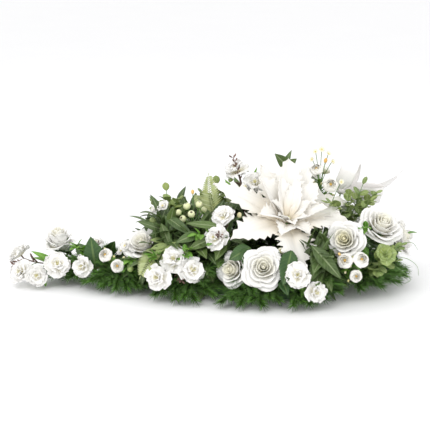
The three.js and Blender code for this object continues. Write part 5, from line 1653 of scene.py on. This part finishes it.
class ARRANGEMENT_OT_studio(bpy.types.Operator):
    """Adds the pale floor, the soft lights and the camera"""
    bl_idname = "arrangement.studio"
    bl_label = "Studio"

    def execute(self, context):
        context.scene.view_settings.view_transform = "Standard"
        floor = model(bpy.ops.mesh.primitive_plane_add, size=FLOOR_SIZE)
        floor.name = "studio_floor"
        n = Nodes("studio_paper")
        cloud = n.noise(3.0, 2.0)
        floor.data.materials.append(n.finish(
            n.mix(cloud, (0.93, 0.93, 0.94, 1), (0.95, 0.95, 0.955, 1)), 0.9, Specular_IOR_Level=0.1))
        floor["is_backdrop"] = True
        world = bpy.data.worlds.new("studio_air")
        world.use_nodes = True
        colour, strength = world.node_tree.nodes["Background"].inputs[:2]
        colour.default_value = (1, 1, 1, 1)
        strength.default_value = DAYLIGHT
        context.scene.world = world
        for name, spot, size, power in LAMPS:
            lamp = bpy.data.lights.new(name, "AREA")
            lamp.size, lamp.energy = size, power
            aim(lamp, spot, (0, 0, 0.1))
        target = np.asarray(CAMERA["target"], float) * MM
        back = CAMERA["distance"] * MM * np.array([0, -math.cos(CAMERA["rise"]), math.sin(CAMERA["rise"])])
        eye = bpy.data.cameras.new("eye")
        eye.lens, eye.sensor_width, eye.clip_end = CAMERA["lens"], CAMERA["sensor"], CAMERA["reach"]
        context.scene.camera = aim(eye, target + back, target)
        return {"FINISHED"}


def aim(data, spot, target):
    """Stands a lamp or the camera at a spot and points it at a target."""
    holder = bpy.data.objects.new(data.name, data)
    bpy.context.scene.collection.objects.link(holder)
    back = unit(np.asarray(spot, float) - np.asarray(target, float))
    side = unit(np.cross(UP, back))
    made = matrix_of(side, np.cross(back, side), back, spot)
    holder.matrix_world = [tuple(row) for row in made.T]
    return holder


STEPS = (
    ARRANGEMENT_OT_tray_and_foam,
    ARRANGEMENT_OT_poinsettia,
    ARRANGEMENT_OT_roses,
    ARRANGEMENT_OT_blossoms,
    ARRANGEMENT_OT_mini_roses,
    ARRANGEMENT_OT_berries,
    ARRANGEMENT_OT_buds,
    ARRANGEMENT_OT_leaves,
    ARRANGEMENT_OT_eucalyptus,
    ARRANGEMENT_OT_ferns,
    ARRANGEMENT_OT_pine,
    ARRANGEMENT_OT_bow,
    ARRANGEMENT_OT_studio,
)


class ARRANGEMENT_PT_panel(bpy.types.Panel):
    bl_label = "Teardrop arrangement"
    bl_idname = "ARRANGEMENT_PT_panel"
    bl_space_type = "VIEW_3D"
    bl_region_type = "UI"
    bl_category = "Arrangement"

    def draw(self, context):
        for group in settings():
            for name in group.__annotations__:
                self.layout.prop(group, name)
        for step in STEPS:
            self.layout.operator(step.bl_idname)


CLASSES = (ArrangementSizes, ArrangementColours, *STEPS, ARRANGEMENT_PT_panel)


def register():
    for cls in CLASSES:
        bpy.utils.register_class(cls)
    bpy.types.Scene.arrangement_sizes = PointerProperty(type=ArrangementSizes)
    bpy.types.Scene.arrangement_colours = PointerProperty(type=ArrangementColours)


def unregister():
    del bpy.types.Scene.arrangement_colours
    del bpy.types.Scene.arrangement_sizes
    for cls in reversed(CLASSES):
        bpy.utils.unregister_class(cls)


def main():
    register()
    for step in STEPS:
        group, name = step.bl_idname.split(".")
        getattr(getattr(bpy.ops, group), name)()
    boxes = {"cad": CAD_BOX, "visual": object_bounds()}
    {key: [list(map(float, corner)) for corner in box] for key, box in boxes.items()}


if __name__ == "__main__":
    main()
